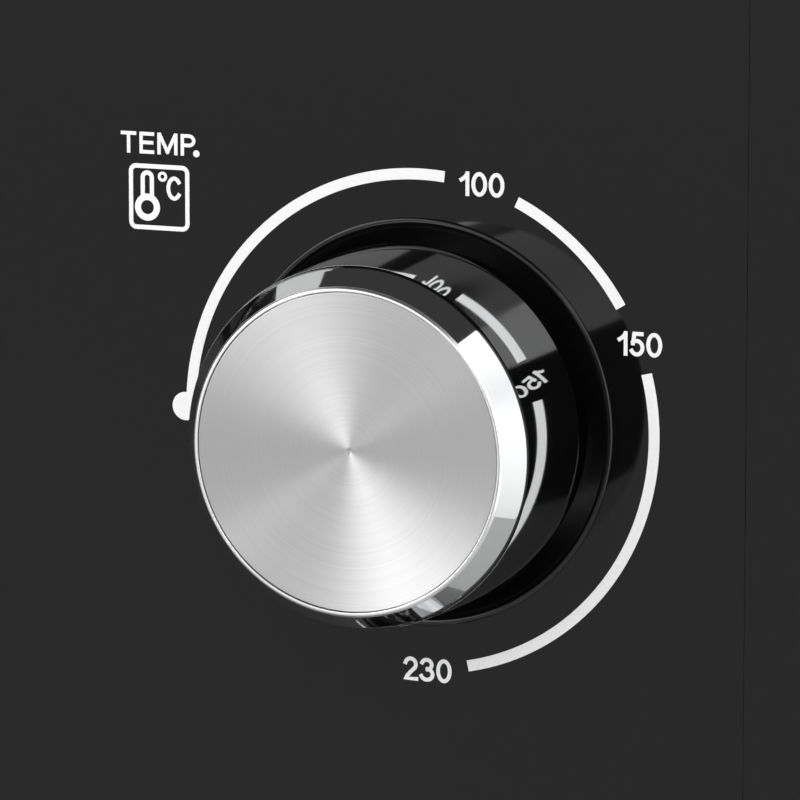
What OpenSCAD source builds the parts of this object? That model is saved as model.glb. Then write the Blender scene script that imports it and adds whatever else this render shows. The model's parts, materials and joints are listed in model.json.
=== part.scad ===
// Countertop convection oven: a drop-down glass door on the left, three chrome
// knobs on a gloss panel on the right. Millimetres, +Z up, front facing -Y,
// origin at the bottom centre of the outer box.

/* [Cabinet] */
// Width across the sides of the cabinet
cabinet_w = 500; // [470:5:540]
// Height of the cabinet without its feet
cabinet_h = 310; // [300:5:340]
// Depth from the front frame to the rear cover
cabinet_d = 340; // [320:5:380]
// Thickness of the wrapper, base and rear sheets
sheet_t = 0.8; // [0.6:0.1:1.2]
// Radius of the cabinet's top corners
corner_r = 14; // [8:1:20]
// Thickness of the front frame plate
frame_t = 1.2; // [0.8:0.1:2]
// Edge of the front frame left bare around the door and the panel
front_margin = 2; // [1:0.5:4]
// Width of the flanges that the rear cover and base are fixed to
flange_w = 12; // [10:1:16]

/* [Feet and spacers] */
// Height of the feet
foot_h = 16; // [12:1:22]
// Radius of a foot
foot_r = 14; // [11:1:18]
// Distance of a foot's axis from the side of the cabinet
foot_inset = 36; // [30:1:60]
// Distance of a foot's axis from the front frame or rear cover
foot_setback = 40; // [30:1:60]
// Length of the wall spacers behind the rear cover
spacer_reach = 12; // [8:1:20]
// Radius of a wall spacer
spacer_r = 11; // [8:1:16]

/* [Control panel] */
// Width of the control panel with its end trim
panel_w = 118; // [112:1:126]
// Wall of the hollow control panel
panel_wall = 2.5; // [2:0.1:3.5]
// Distance of the knob axes from the right edge of the panel
knob_from_right = 56; // [52:1:60]
// Width of the end trim at the right edge of the panel
end_trim_w = 13.6; // [8:0.1:16]
// Distance between the knob axes
knob_pitch = 90; // [80:1:96]
// Radius of the indicator lens
indicator_r = 4; // [3:0.5:6]

/* [Knobs] */
// Radius of a knob at its back edge
knob_r = 22.8; // [21:0.1:23.5]
// Radius of a knob's bright front edge
knob_face_r = 20; // [18:0.1:21]
// Height of a knob's front above the panel
knob_h = 23; // [20:0.1:28]
// Height of the bevel at the front of a knob
knob_bevel_h = 3; // [2:0.1:6]
// Gap between the panel and a knob's chrome edge
knob_lift = 4.5; // [3:0.1:6]
// Width of the bright rim around the spun disc
knob_rim = 0.6; // [0.4:0.1:1.5]
// Thickness of the spun disc
disc_t = 0.8; // [0.5:0.1:1.2]
// Wall of the chrome shell
shell_t = 1.2; // [0.8:0.1:1.6]
// Radius of a control shaft
shaft_r = 3; // [2.5:0.1:4]
// Radius of the dark bezel around a knob
bezel_r = 25.3; // [24.5:0.1:27]
// Depth of the dish inside a bezel
bezel_depth = 3.5; // [3:0.1:5]

/* [Door] */
// Thickness of the door
door_t = 20; // [16:1:24]
// Thickness of the door glass
glass_t = 4; // [3:0.5:5]
// Gap between the closed door and the front frame
door_gap = 1; // [0.8:0.1:2]
// Gap between the door and the control panel
door_side_gap = 2; // [1.5:0.5:4]
// Sheet thickness of the door frame
door_wall = 1.2; // [0.8:0.1:1.6]
// Height of the door's lower edge above the cabinet's underside
door_rise = 36; // [34:1:44]
// Width of the dark border around the door window
window_border = 46; // [40:1:56]
// Distance of the hinge axis from the door's back and lower edge
hinge_inset = 6; // [5.5:0.1:7]
// Radius of a hinge pin
pin_r = 2.5; // [2:0.1:3]
// Thickness of a hinge lug
lug_t = 3; // [2:0.5:4]

/* [Door springs] */
// Wire diameter of a door spring
spring_wire_d = 1; // [0.8:0.1:1.2]
// Number of curls in a door spring
spring_curls = 7; // [4:1:9]
// Distance from curl to curl
spring_pitch = 2.2; // [1.8:0.1:3]

/* [Handle] */
// Distance from the door glass to the front of the handle
handle_reach = 38; // [34:1:40]
// Radius of the handle bar
handle_r = 7; // [5:0.5:9]
// Length of the handle bar
handle_len = 310; // [240:5:330]
// Distance of the handle bar below the top of the door
handle_drop = 24; // [18:1:34]
// Radius of a handle post
post_r = 5.5; // [4.5:0.5:7]
// Distance of a post's axis from the end of the bar
post_inset = 22; // [14:1:40]

/* [Oven cavity] */
// Sheet thickness of the cavity
cavity_t = 0.8; // [0.6:0.1:1.2]
// Space between the cavity and the left side of the cabinet
cavity_left_gap = 14; // [12:1:20]
// Space between the cavity and the left edge of the control panel
cavity_right_gap = 18; // [16:1:24]
// Space between the cavity and the rear cover
cavity_back_gap = 34; // [26:1:50]
// Space between the cavity and the top of the cabinet
cavity_top_gap = 30; // [26:1:40]
// Radius of a heater rod
heater_r = 4; // [3:0.5:4.5]
// Distance of the heater rods from the middle of the cavity
heater_spread = 75; // [60:1:100]
// Height of the upper heaters below the cavity's ceiling
upper_heater_drop = 26; // [20:1:34]
// Height of the lower heaters above the hinge axis
lower_heater_rise = 18; // [14:1:26]

/* [Rack and trays] */
// Height of the rack above the hinge axis
rack_rise = 70; // [64:1:76]
// Distance from one rack level to the next
level_pitch = 80; // [74:1:90]
// Radius of the rack's frame wire
rack_r = 2.2; // [1.8:0.1:2.6]
// Radius of the rack's cross wires
wire_r = 1.3; // [1:0.1:1.6]
// Distance between the rack's cross wires
wire_pitch = 22; // [18:1:28]
// Depth of the baking tray's pan
tray_h = 20; // [14:1:28]
// Sheet thickness of the trays
tray_t = 0.8; // [0.6:0.1:1.2]
// Depth of the crumb tray's pan
crumb_h = 9; // [7:0.5:10]

/* [Fan] */
// Radius of the convection fan
fan_r = 48; // [40:1:50]
// Number of fan blades
fan_blades = 10; // [6:1:14]
// Radius of the fan housing
housing_r = 60; // [58:1:64]
// Depth of the fan housing
housing_d = 26; // [24:1:32]
// Radius of the fan shaft
fan_shaft_r = 2.5; // [2:0.1:3]
// Radius of the motor's rotor
rotor_r = 12; // [9:0.5:13]
// Thickness of the motor's core
core_t = 20; // [16:1:26]

/* [Clearances] */
// Radial clearance of a shaft or pin that turns
running_fit = 0.05; // [0.03:0.01:0.1]
// Clearance between pieces that fit into each other
fit = 0.1; // [0.05:0.05:0.2]
// Gap between pieces that slide or swing past each other
slide_gap = 0.5; // [0.4:0.1:1]
// Width of the seam between the panel and its end trim
seam = 0.2; // [0.1:0.1:0.6]

/* [Hidden] */
$fn = 64;
// Overlap of cutting tools past the faces they cut
cut = 1;

// Depth positions, from the handle at the front to the wall spacers at the back
total_d = handle_reach + door_t + door_gap + cabinet_d + spacer_reach;
y_face = -total_d / 2 + handle_reach;
y_glass_back = y_face + glass_t;
y_door_back = y_face + door_t;
y_frame = y_door_back + door_gap;
y_inside = y_frame + frame_t;
y_back = y_frame + cabinet_d;
y_cover = y_back - sheet_t;
y_cavity_back = y_back - cavity_back_gap;

// Width positions
side_x = cabinet_w / 2;
panel_x1 = side_x - front_margin;
panel_x0 = panel_x1 - panel_w;
trim_x0 = panel_x1 - end_trim_w;
knob_x = panel_x1 - knob_from_right;
door_x0 = -side_x + front_margin;
door_x1 = panel_x0 - door_side_gap;
door_x = (door_x0 + door_x1) / 2;
cavity_x0 = -side_x + cavity_left_gap;
cavity_x1 = panel_x0 - cavity_right_gap;
cavity_x = (cavity_x0 + cavity_x1) / 2;
cavity_out_x = cavity_x1 + cavity_t;

// Height positions
base_z = foot_h;
top_z = foot_h + cabinet_h;
front_lift = 1;
front_drop = 2;
front_z0 = base_z + front_margin + front_lift;
front_z1 = top_z - front_margin - front_drop;
front_mid_z = (front_z0 + front_z1) / 2;
knob_z = [front_mid_z + knob_pitch, front_mid_z, front_mid_z - knob_pitch];
indicator_rise = 14;
indicator_z = front_z0 + indicator_rise;
door_z0 = base_z + door_rise;
hinge_z = door_z0 + hinge_inset;
hinge_y = y_door_back - hinge_inset;
crumb_rise = 10;
crumb_headroom = 4;
crumb_z = base_z + crumb_rise;
cavity_z0 = crumb_z + crumb_h + crumb_headroom;
cavity_z1 = top_z - cavity_top_gap;
rack_z = hinge_z + rack_rise;
upper_z = cavity_z1 - upper_heater_drop;
lower_z = hinge_z + lower_heater_rise;

// Heater rods and the ceramic bushes that carry them
heater_y = (y_inside + y_cavity_back) / 2;
heater_overhang = 9;
insulator_wall = 1.5;
insulator_r = heater_r + insulator_wall;
insulator_flange = 2;
insulator_in = 2;
insulator_out = 4;

// Mouth of the cavity in the front frame
mouth_lip = 3;
mouth_x0 = cavity_x0 + mouth_lip;
mouth_x1 = cavity_x1 - mouth_lip;
mouth_gap = 1;
mouth_drop = 6;
mouth_z0 = hinge_z + hinge_inset + mouth_gap;
mouth_z1 = cavity_z1 - mouth_drop;
mouth_r = 6;
gasket_w = 5;
gasket_gap = 0.3;
gasket_t = door_gap - gasket_gap;

// Door window and hinge places
window_x0 = door_x0 + window_border;
window_x1 = door_x1 - window_border;
window_z0 = door_z0 + window_border;
window_z1 = front_z1 - window_border;
window_r = 6;
door_r = 4;
lug_offset = 6;
lug_gap = 1;
lug_r = hinge_inset - lug_gap;
ear_t = 3;
notch_gap = 1.5;
ear_gap = 1;
ear_h = 30;
notch_h = 18;
notch_back = 1;
ear_offset = lug_offset + lug_t + notch_gap + ear_gap;
pin_start = 2;
pin_len = 28;
spring_gap = 1.5;
spring_r = (pin_r + hinge_inset - door_wall) / 2;
spring_start = ear_offset + ear_t + spring_gap;
spring_sides = 6;
spring_steps = 8;
swing_r = norm([door_t - hinge_inset, hinge_inset]);
swing_gap = 1.5;
crumb_front_z1 = hinge_z - swing_r - swing_gap;

// Handle
handle_y = -total_d / 2 + handle_r;
handle_z = front_z1 - handle_drop;
post_x = [door_x - handle_len / 2 + post_inset, door_x + handle_len / 2 - post_inset];
handle_screw_r = 2;
handle_head_r = 4;
handle_head_h = 3;
handle_edge = 2;

// Rack, its guides and the hooks that draw it out
rack_side_gap = 3;
rack_front_gap = 8;
rack_back_gap = 10;
weld = 0.5;
rack_x0 = mouth_x0 + rack_side_gap;
rack_x1 = mouth_x1 - rack_side_gap;
rack_y0 = y_door_back + rack_front_gap;
rack_y1 = y_cavity_back - rack_back_gap;
wire_z = rack_z + rack_r + wire_r - weld;
wire_count = floor((rack_x1 - rack_x0 - wire_pitch) / wire_pitch);
wire_x0 = (rack_x0 + rack_x1 - (wire_count - 1) * wire_pitch) / 2;
guide_t = 1.2;
guide_reach = 13;
guide_h = 8;
guide_front_gap = 2;
guide_back_gap = 4;
guide_z = rack_z - rack_r - slide_gap;
hook_r = 1.5;
hook_gap = 2;
hook_x = [(rack_x0 + wire_x0) / 2, (rack_x1 + wire_x0 + (wire_count - 1) * wire_pitch) / 2];
hook_y = rack_y0 + rack_r + hook_gap + hook_r;
hook_drop = 3;
hook_z = rack_z - rack_r - hook_drop - hook_r;

// Trays
tray_side_gap = 20;
tray_end_gap = 16;
tray_x0 = rack_x0 + tray_side_gap;
tray_x1 = rack_x1 - tray_side_gap;
tray_y0 = rack_y0 + tray_end_gap;
tray_y1 = rack_y1 - tray_end_gap;
tray_z = wire_z + wire_r;
tray_r = 16;
tray_rim = 6;
crumb_side_gap = 12;
crumb_back_gap = 16;
crumb_setback = 3;
crumb_x0 = cavity_x0 + crumb_side_gap;
crumb_x1 = cavity_x1 - crumb_side_gap;
crumb_y1 = y_cavity_back - crumb_back_gap;
crumb_front_t = 1.5;
crumb_front_y = y_face + crumb_setback;
crumb_slot_gap = 2;
grip_reach = 11;
runner_t = 2;
stop_w = 40;
stop_t = 2;
stop_h = 6;
stop_low = 2;
crumb_handle_gap = 11;
crumb_pull = hinge_y - crumb_front_y + grip_reach + handle_r + crumb_handle_gap;
crumb_travel = handle_z - hinge_z - crumb_pull;
stop_y = crumb_y1 - stop_t - crumb_travel - slide_gap;
runner_inset = 24;
grip_w = 110;
grip_t = 2;
grip_h = 5;
grip_drop = 4;
grip_z1 = crumb_front_z1 - grip_drop;

// Fan line: distances along X from the cavity's outer wall
fan_shift = 20;
fan_y = heater_y + fan_shift;
fan_z = rack_z + level_pitch / 2;
fan_start = 6;
fan_width = 13;
fan_hub = 8;
cooling_gap = 5;
cooling_start = housing_d + cooling_gap;
cooling_width = 11;
cooling_r = 26;
cooling_hub = 7;
cooling_blades = 6;
blade_t = 1;
blade_edge = 1;
bracket_gap = 4;
bracket_start = cooling_start + cooling_width + bracket_gap;
bracket_t = 2;
bracket_low = 7;
bracket_side = 2;
bearing_wall = 4;
bearing_proud = 1;
coil_t = 8;
coil_gap = 4;
core_start = bracket_start + bracket_t + coil_t + coil_gap;
core_end = core_start + core_t;
bracket_end = core_end + coil_t + coil_gap;
motor_end = bracket_end + bracket_t;
shaft_end = 4;
core_side = 20;
core_crown = 12;
core_leg = 10;
core_web = 4;
motor_half = rotor_r + core_side;
motor_top = rotor_r + core_crown;
rotor_gap = 0.6;
coil_window = 18;
coil_leg_z = -rotor_r - core_web - coil_window;
coil_leg_h = 10;
tie_r = 2;
tie_inset = 5;
tie_end = 2;
tie_y = motor_half - tie_inset;
tie_z = motor_top - tie_inset;
housing_flange = 8;
housing_bore = 2;
hole_r = 2.2;
hole_ring = 8;
hole_rings = 4;

// Controls behind the front frame
switch_w = 36;
switch_h = 28;
switch_d = 26;
boss_r = 8;
boss_h = 5;
selector_r = 20;
selector_tabs = 6;
tab_w = 6;
tab_h = 8;
tab_t = 4;
tab_inset = 2;
timer_w = 56;
timer_d = 32;
bell_r = 22;
bell_h = 12;
bell_t = 1;
bell_post_r = 3;
bell_edge = 3;
bell_crown = 6;
bore_depth = 12;
bore_end = 1;
shaft_hole_gap = 1;
shaft_cover = 8;
shaft_front = knob_h - shaft_cover;
flat_depth = 1;
screw_r = 1.5;
screw_head_r = 3;
screw_head_h = 1.8;
screw_spread = 14;
screw_len = 6;
capillary_r = 1;
bulb_r = 2.8;
bulb_len = 70;
bulb_gap = 9;
capillary_step = 10;
bulb_joint = 1;
capillary_drop = 12;
capillary_gap = 5;
capillary_y = fan_y - housing_r - capillary_gap;
capillary_z = cavity_z1 - capillary_drop;
bulb_x = cavity_x1 - bulb_gap;
bulb_y = capillary_y + capillary_step;
shield_t = 0.8;
shield_gap = 4;
shield_flange = 12;
shield_low = 10;
shield_drop = 24;
shield_fan_gap = 24;
shield_y1 = fan_y - housing_r - shield_fan_gap;

// Knob section, as radius and height above the panel
disc_sink = 0.2;
disc_seat = knob_h - disc_t - disc_sink;
web_z = disc_seat - shell_t;
shell_in = 0.4;
shell_edge = 0.3;
shell_taper = 0.75;
core_r = knob_face_r - shell_in;
shoulder_h = knob_h - knob_bevel_h;
core_back = 1.5;
hub_wall = 3.5;
hub_r = shaft_r + hub_wall;
bezel_wall = 1.2;
bezel_lip = 0.35;
bezel_seat = 1.1;
bezel_land = 0.7;
bezel_slope = 2;
bezel_bore_gap = 1.5;
bezel_bore_r = shaft_r + bezel_bore_gap;
bezel_floor = bezel_wall - bezel_depth;
hub_back = bezel_floor + slide_gap;
pointer_w = 1.6;
pointer_depth = 0.5;
pointer_len = 8;
pointer_tip = 1;
// Angle of a knob's pointer groove at rest, from the right and counter-clockwise
pointer_angle = 180;

// Rear of the cabinet
gland_from_side = 52;
gland_rise = 42;
gland_x = side_x - gland_from_side;
gland_z = base_z + gland_rise;
gland_bore_r = 4;
gland_r = 7;
gland_flange_r = 11;
gland_flange_t = 3;
gland_in = 8;
gland_out = 9;
gland_taper = 1;
gland_step = 0.5;
rear_screw_in = flange_w / 2;
rear_screw_end = 40;
rear_screw_xz = [
  [-side_x + rear_screw_in, base_z + rear_screw_end], [-side_x + rear_screw_in, (base_z + top_z) / 2],
  [-side_x + rear_screw_in, top_z - rear_screw_end], [side_x - rear_screw_in, base_z + rear_screw_end],
  [side_x - rear_screw_in, (base_z + top_z) / 2], [side_x - rear_screw_in, top_z - rear_screw_end],
  [-side_x / 2, top_z - rear_screw_in], [side_x / 2, top_z - rear_screw_in]
];
spacer_from_side = 60;
spacer_drop = 50;
spacer_x = side_x - spacer_from_side;
spacer_z = top_z - spacer_drop;
spacer_taper = 1;
spacer_round = 1.5;
slot_w = 36;
slot_h = 3.6;
slot_pitch = 10;
slot_space = 9;
slot_column = slot_w + slot_space;
slot_flat = 0.2;
slot_round = (slot_h - slot_flat) / 2;
vent_from_back = 110;
vent_drop = 110;
rear_vent_drop = 90;
terminal_w = 44;
terminal_d = 20;
terminal_h = 18;
terminal_pitch = 14;
terminal_hole_z = 8;
terminal_hole_r = 2.5;
terminal_screw_r = 2;
terminal_from_back = 90;
foot_places = [for (x = [-1, 1], y = [y_frame + foot_setback, y_back - foot_setback])
  [x * (side_x - foot_inset), y]];
foot_screw_r = 2;
foot_head_r = 4;
foot_head_h = 3;
foot_recess = 6;
foot_screw_in = 6;
foot_edge = 1.5;
lens_back = 12;
lens_flange = 1;
lens_edge = 0.8;
lens_shoulder = 1.8;
lens_h = 2.6;
lens_crown = 2.4;

// Helper shapes

module block(low, high) {
  translate(low) cube(high - low);
}

module along_x(x0, x1) {
  translate([x0, 0, 0]) rotate([90, 0, 90]) linear_extrude(x1 - x0) children();
}

module along_y(y0, y1) {
  translate([0, y1, 0]) rotate([90, 0, 0]) linear_extrude(y1 - y0) children();
}

module along_z(z0, z1) {
  translate([0, 0, z0]) linear_extrude(z1 - z0) children();
}

module rod_x(x0, x1, y, z, r) {
  translate([x0, y, z]) rotate([0, 90, 0]) cylinder(r = r, h = x1 - x0);
}

module rod_y(y0, y1, x, z, r) {
  translate([x, y0, z]) rotate([-90, 0, 0]) cylinder(r = r, h = y1 - y0);
}

module rod_z(z0, z1, x, y, r) {
  translate([x, y, z0]) cylinder(r = r, h = z1 - z0);
}

// A profile of radius and height, turned about an axis that points to the front
module front_lathe(x, z) {
  translate([x, y_face, z]) rotate([90, 0, 0]) rotate_extrude() children();
}

// A profile of radius and distance, turned about the fan's axis
module fan_lathe() {
  translate([cavity_out_x, fan_y, fan_z]) rotate([0, 90, 0]) rotate_extrude() children();
}

module rounded(x0, z0, x1, z1, r) {
  translate([x0 + r, z0]) square([x1 - x0 - 2 * r, z1 - z0]);
  translate([x0, z0 + r]) square([x1 - x0, z1 - z0 - 2 * r]);
  for (x = [x0 + r, x1 - r], z = [z0 + r, z1 - r])
    translate([x, z]) circle(r);
}

module cabinet_outline(inset, low) {
  r = corner_r - inset;
  x = side_x - inset;
  z = top_z - inset;
  translate([-x, low]) square([2 * x, z - r - low]);
  translate([-x + r, low]) square([2 * x - 2 * r, z - low]);
  for (side = [-1, 1])
    translate([side * (x - r), z - r]) circle(r);
}

module slots(columns, rows) {
  for (i = [0 : columns - 1], j = [0 : rows - 1])
    translate([(i - (columns - 1) / 2) * slot_column, (j - (rows - 1) / 2) * slot_pitch])
      rounded(-slot_w / 2, -slot_h / 2, slot_w / 2, slot_h / 2, slot_round);
}

// Cabinet

module cabinet_wrapper() {
  color("#1c1c1e")
    difference() {
      union() {
        along_y(y_inside, y_cover) difference() {
          cabinet_outline(0, base_z);
          cabinet_outline(sheet_t, base_z - cut);
        }
        along_y(y_cover - sheet_t, y_cover) difference() {
          cabinet_outline(0, base_z);
          translate([-side_x + flange_w, base_z - cut])
            square([cabinet_w - 2 * flange_w, cabinet_h - flange_w + cut]);
        }
      }
      for (side = [-1, 1])
        along_x(side * side_x - 2 * sheet_t, side * side_x + 2 * sheet_t)
          translate([y_back - vent_from_back, top_z - vent_drop]) slots(3, 9);
      for (place = rear_screw_xz)
        rod_y(y_cover - sheet_t - cut, y_cover + cut, place.x, place.y, screw_r);
    }
}

module base_pan() {
  x1 = side_x - sheet_t;
  y1 = y_cover - sheet_t - fit;
  color("#8f9296")
    difference() {
      union() {
        block([-x1, y_inside, base_z], [x1, y1, base_z + sheet_t]);
        block([-x1, y_inside, base_z], [-x1 + sheet_t, y1, base_z + flange_w]);
        block([x1 - sheet_t, y_inside, base_z], [x1, y1, base_z + flange_w]);
        for (x = [crumb_x0 + runner_inset, crumb_x1 - runner_inset - runner_t])
          block([x, y_inside, base_z], [x + runner_t, crumb_y1, crumb_z - slide_gap]);
        block([cavity_x - stop_w / 2, stop_y - stop_t, base_z],
          [cavity_x + stop_w / 2, stop_y, crumb_z - stop_low]);
      }
      for (place = foot_places)
        rod_z(base_z - cut, base_z + 2 * sheet_t, place.x, place.y, foot_screw_r + fit);
      along_z(base_z - cut, base_z + 2 * sheet_t)
        translate([knob_x, (y_frame + y_back) / 2]) slots(2, 8);
    }
}

module rear_cover() {
  color("#1c1c1e")
    along_y(y_cover, y_back) difference() {
      cabinet_outline(0, base_z);
      for (place = rear_screw_xz)
        translate(place) circle(screw_r + fit);
      translate([gland_x, gland_z]) circle(gland_r + fit);
      translate([cavity_x, (base_z + top_z) / 2]) slots(4, 9);
      translate([knob_x, top_z - rear_vent_drop]) slots(2, 7);
    }
}

module rear_spacers() {
  color("#141414")
    for (side = [-1, 1])
      translate([side * spacer_x, y_back, spacer_z]) rotate([-90, 0, 0]) rotate_extrude()
        polygon([[0, 0], [spacer_r, 0], [spacer_r - spacer_taper, spacer_reach - spacer_round],
          [spacer_r - spacer_taper - spacer_round, spacer_reach], [0, spacer_reach]]);
}

module front_frame() {
  color("#26262a")
    along_y(y_frame, y_inside) difference() {
      cabinet_outline(0, base_z);
      rounded(mouth_x0, mouth_z0, mouth_x1, mouth_z1, mouth_r);
      translate([crumb_x0 - crumb_slot_gap, crumb_z - crumb_slot_gap])
        square([crumb_x1 - crumb_x0 + 2 * crumb_slot_gap, crumb_h + 2 * crumb_slot_gap]);
      for (z = knob_z) {
        translate([knob_x, z]) circle(shaft_r + shaft_hole_gap);
        for (side = [-1, 1])
          translate([knob_x + side * screw_spread, z]) circle(screw_r + fit);
      }
      translate([knob_x, indicator_z]) circle(indicator_r + fit);
    }
}

module control_panel() {
  x1 = trim_x0 - seam;
  color("#0b0b0c")
    difference() {
      block([panel_x0, y_face, front_z0], [x1, y_frame, front_z1]);
      block([panel_x0 + panel_wall, y_face + panel_wall, front_z0 + panel_wall],
        [x1 - panel_wall, y_frame + cut, front_z1 - panel_wall]);
      for (z = knob_z)
        rod_y(y_face - cut, y_face + panel_wall + cut, knob_x, z, bezel_r - bezel_seat);
      rod_y(y_face - cut, y_face + panel_wall + cut, knob_x, indicator_z, indicator_r + fit);
    }
}

module panel_end_trim() {
  color("#0b0b0c")
    difference() {
      block([trim_x0, y_face, front_z0], [panel_x1, y_frame, front_z1]);
      block([trim_x0 + panel_wall, y_face + panel_wall, front_z0 + panel_wall],
        [panel_x1 - panel_wall, y_frame + cut, front_z1 - panel_wall]);
    }
}

module dial_bezels() {
  wall_r = bezel_r - bezel_seat - fit;
  color("#050505")
    for (z = knob_z)
      front_lathe(knob_x, z)
        polygon([[bezel_bore_r, -bezel_depth], [wall_r, -bezel_depth], [wall_r, 0], [bezel_r, 0],
          [bezel_r, bezel_lip / 2], [bezel_r - bezel_lip / 2, bezel_lip],
          [bezel_r - bezel_land, bezel_lip], [wall_r - bezel_wall - bezel_slope, bezel_floor],
          [bezel_bore_r, bezel_floor]]);
}

module indicator_lens() {
  color("#b3261e")
    front_lathe(knob_x, indicator_z)
      polygon([[0, -lens_back], [indicator_r, -lens_back], [indicator_r, 0],
        [indicator_r + lens_flange, 0], [indicator_r + lens_flange, lens_edge],
        [indicator_r, lens_shoulder], [indicator_r / 2, lens_crown], [0, lens_h]]);
}

// Oven cavity and what is in it

module fan_holes() {
  translate([fan_y, fan_z]) {
    circle(hole_r);
    for (ring = [1 : hole_rings], i = [0 : 6 * ring - 1])
      rotate(i * 60 / ring) translate([ring * hole_ring, 0]) circle(hole_r);
  }
}

module heater_places() {
  for (z = [upper_z, lower_z], side = [-1, 1])
    translate([0, heater_y + side * heater_spread, z]) children();
}

module oven_cavity() {
  flange = 14;
  color("#b4b6b8")
    difference() {
      block([cavity_x0 - cavity_t, y_inside, cavity_z0 - cavity_t],
        [cavity_out_x, y_cavity_back, cavity_z1 + cavity_t]);
      block([cavity_x0, y_inside - cut, cavity_z0],
        [cavity_x1, y_cavity_back - cavity_t, cavity_z1]);
      block([cavity_x0 + flange, y_inside + flange, cavity_z0 - 2 * cavity_t],
        [cavity_x1 - flange, y_cavity_back - flange, cavity_z0 + cut]);
      along_x(cavity_x1 - cut, cavity_out_x + cut) fan_holes();
      heater_places()
        rod_x(cavity_x0 - 2 * cavity_t, cavity_out_x + cut, 0, 0, insulator_r + fit);
      rod_x(cavity_x1 - cut, cavity_out_x + cut, capillary_y, capillary_z, capillary_r + 4 * fit);
    }
}

module rack_guides() {
  y0 = y_inside + guide_front_gap;
  y1 = y_cavity_back - cavity_t - guide_back_gap;
  color("#b4b6b8")
    for (level = [0, 1], side = [0, 1])
      translate([side == 0 ? cavity_x0 : cavity_x1, 0, guide_z + level * level_pitch])
        mirror([side, 0, 0])
          along_y(y0, y1)
            polygon([[0, -guide_h], [guide_t, -guide_h], [guide_t, -guide_t], [guide_reach, -guide_t],
              [guide_reach, 0], [0, 0]]);
}

module heater_pair(z) {
  color("#6d6a66")
    for (side = [-1, 1])
      rod_x(cavity_x0 - heater_overhang, cavity_x1 + heater_overhang, heater_y + side * heater_spread, z,
        heater_r);
}

module upper_heaters() {
  heater_pair(upper_z);
}

module lower_heaters() {
  heater_pair(lower_z);
}

module insulator() {
  rotate([0, 90, 0]) rotate_extrude()
    polygon([[heater_r, -insulator_in], [insulator_r, -insulator_in], [insulator_r, cavity_t],
      [insulator_r + insulator_flange, cavity_t],
      [insulator_r + insulator_flange, cavity_t + insulator_out],
      [heater_r, cavity_t + insulator_out]]);
}

module heater_insulators() {
  color("#efe9dc")
    heater_places() {
      translate([cavity_x1, 0, 0]) insulator();
      translate([cavity_x0, 0, 0]) mirror([1, 0, 0]) insulator();
    }
}

module heat_shield() {
  x = cavity_x1 + heater_overhang + shield_gap;
  z0 = cavity_z0 + shield_low;
  z1 = cavity_z1 - shield_drop;
  color("#c3c5c7") {
    block([x, y_inside, z0], [x + shield_t, shield_y1, z1]);
    block([x, y_inside, z0], [x + shield_flange, y_inside + shield_t, z1]);
  }
}

// Fan and motor

module fan_housing() {
  color("#b4b6b8")
    fan_lathe()
      polygon([[housing_r + housing_flange, 0], [housing_r + housing_flange, cavity_t],
        [housing_r + cavity_t, cavity_t], [housing_r + cavity_t, housing_d],
        [fan_shaft_r + housing_bore, housing_d], [fan_shaft_r + housing_bore, housing_d - cavity_t],
        [housing_r, housing_d - cavity_t], [housing_r, 0]]);
}

module impeller(start, width, r, hub, blades) {
  translate([cavity_out_x + start, fan_y, fan_z]) rotate([0, 90, 0])
    difference() {
      union() {
        cylinder(r = hub, h = width);
        cylinder(r = r, h = blade_t);
        for (i = [0 : blades - 1])
          rotate((i + 0.5) * 360 / blades)
            block([hub - blade_edge, -blade_t / 2, blade_t / 2],
              [r - blade_edge, blade_t / 2, width - blade_edge]);
      }
      translate([0, 0, -cut]) cylinder(r = fan_shaft_r, h = width + 2 * cut);
    }
}

module convection_fan() {
  color("#a9abad") impeller(fan_start, fan_width, fan_r, fan_hub, fan_blades);
}

module cooling_fan() {
  color("#3a3d42")
    impeller(cooling_start, cooling_width, cooling_r, cooling_hub, cooling_blades);
}

module fan_shaft() {
  color("#8a8d91") {
    rod_x(cavity_out_x + shaft_end, cavity_out_x + motor_end + shaft_end, fan_y, fan_z, fan_shaft_r);
    rod_x(cavity_out_x + core_start, cavity_out_x + core_end, fan_y, fan_z, rotor_r);
  }
}

module motor_core() {
  color("#5c5f63")
    along_x(cavity_out_x + core_start, cavity_out_x + core_end)
      translate([fan_y, fan_z]) difference() {
        translate([-motor_half, coil_leg_z - coil_leg_h])
          square([2 * motor_half, motor_top - coil_leg_z + coil_leg_h]);
        circle(rotor_r + rotor_gap);
        translate([-motor_half + core_leg, coil_leg_z])
          square([2 * motor_half - 2 * core_leg, coil_window]);
        for (side = [-1, 1])
          translate([side * tie_y, tie_z]) circle(tie_r + fit);
      }
}

module motor_coil() {
  half = motor_half - core_leg - fit;
  top = -rotor_r - core_web - fit;
  low = coil_leg_z - coil_leg_h - coil_t;
  color("#b06a2c")
    translate([cavity_out_x, fan_y, fan_z])
      difference() {
        block([core_start - coil_t, -half, low], [core_end + coil_t, half, top]);
        block([core_start - fit, -half - cut, coil_leg_z - coil_leg_h - fit],
          [core_end + fit, half + cut, coil_leg_z + fit]);
      }
}

module motor_bracket() {
  color("#9a9da1")
    translate([cavity_out_x, fan_y, fan_z])
      difference() {
        union() {
          for (x = [bracket_start, bracket_end]) {
            block([x, -motor_half + bracket_side, -bracket_low],
              [x + bracket_t, motor_half - bracket_side, motor_top]);
            rod_x(x - bearing_proud, x + bracket_t + bearing_proud, 0, 0, fan_shaft_r + bearing_wall);
          }
          for (side = [-1, 1])
            rod_x(housing_d, motor_end + tie_end, side * tie_y, tie_z, tie_r);
        }
        rod_x(0, motor_end + bearing_proud + cut, 0, 0, fan_shaft_r + running_fit);
      }
}

// Controls

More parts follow.
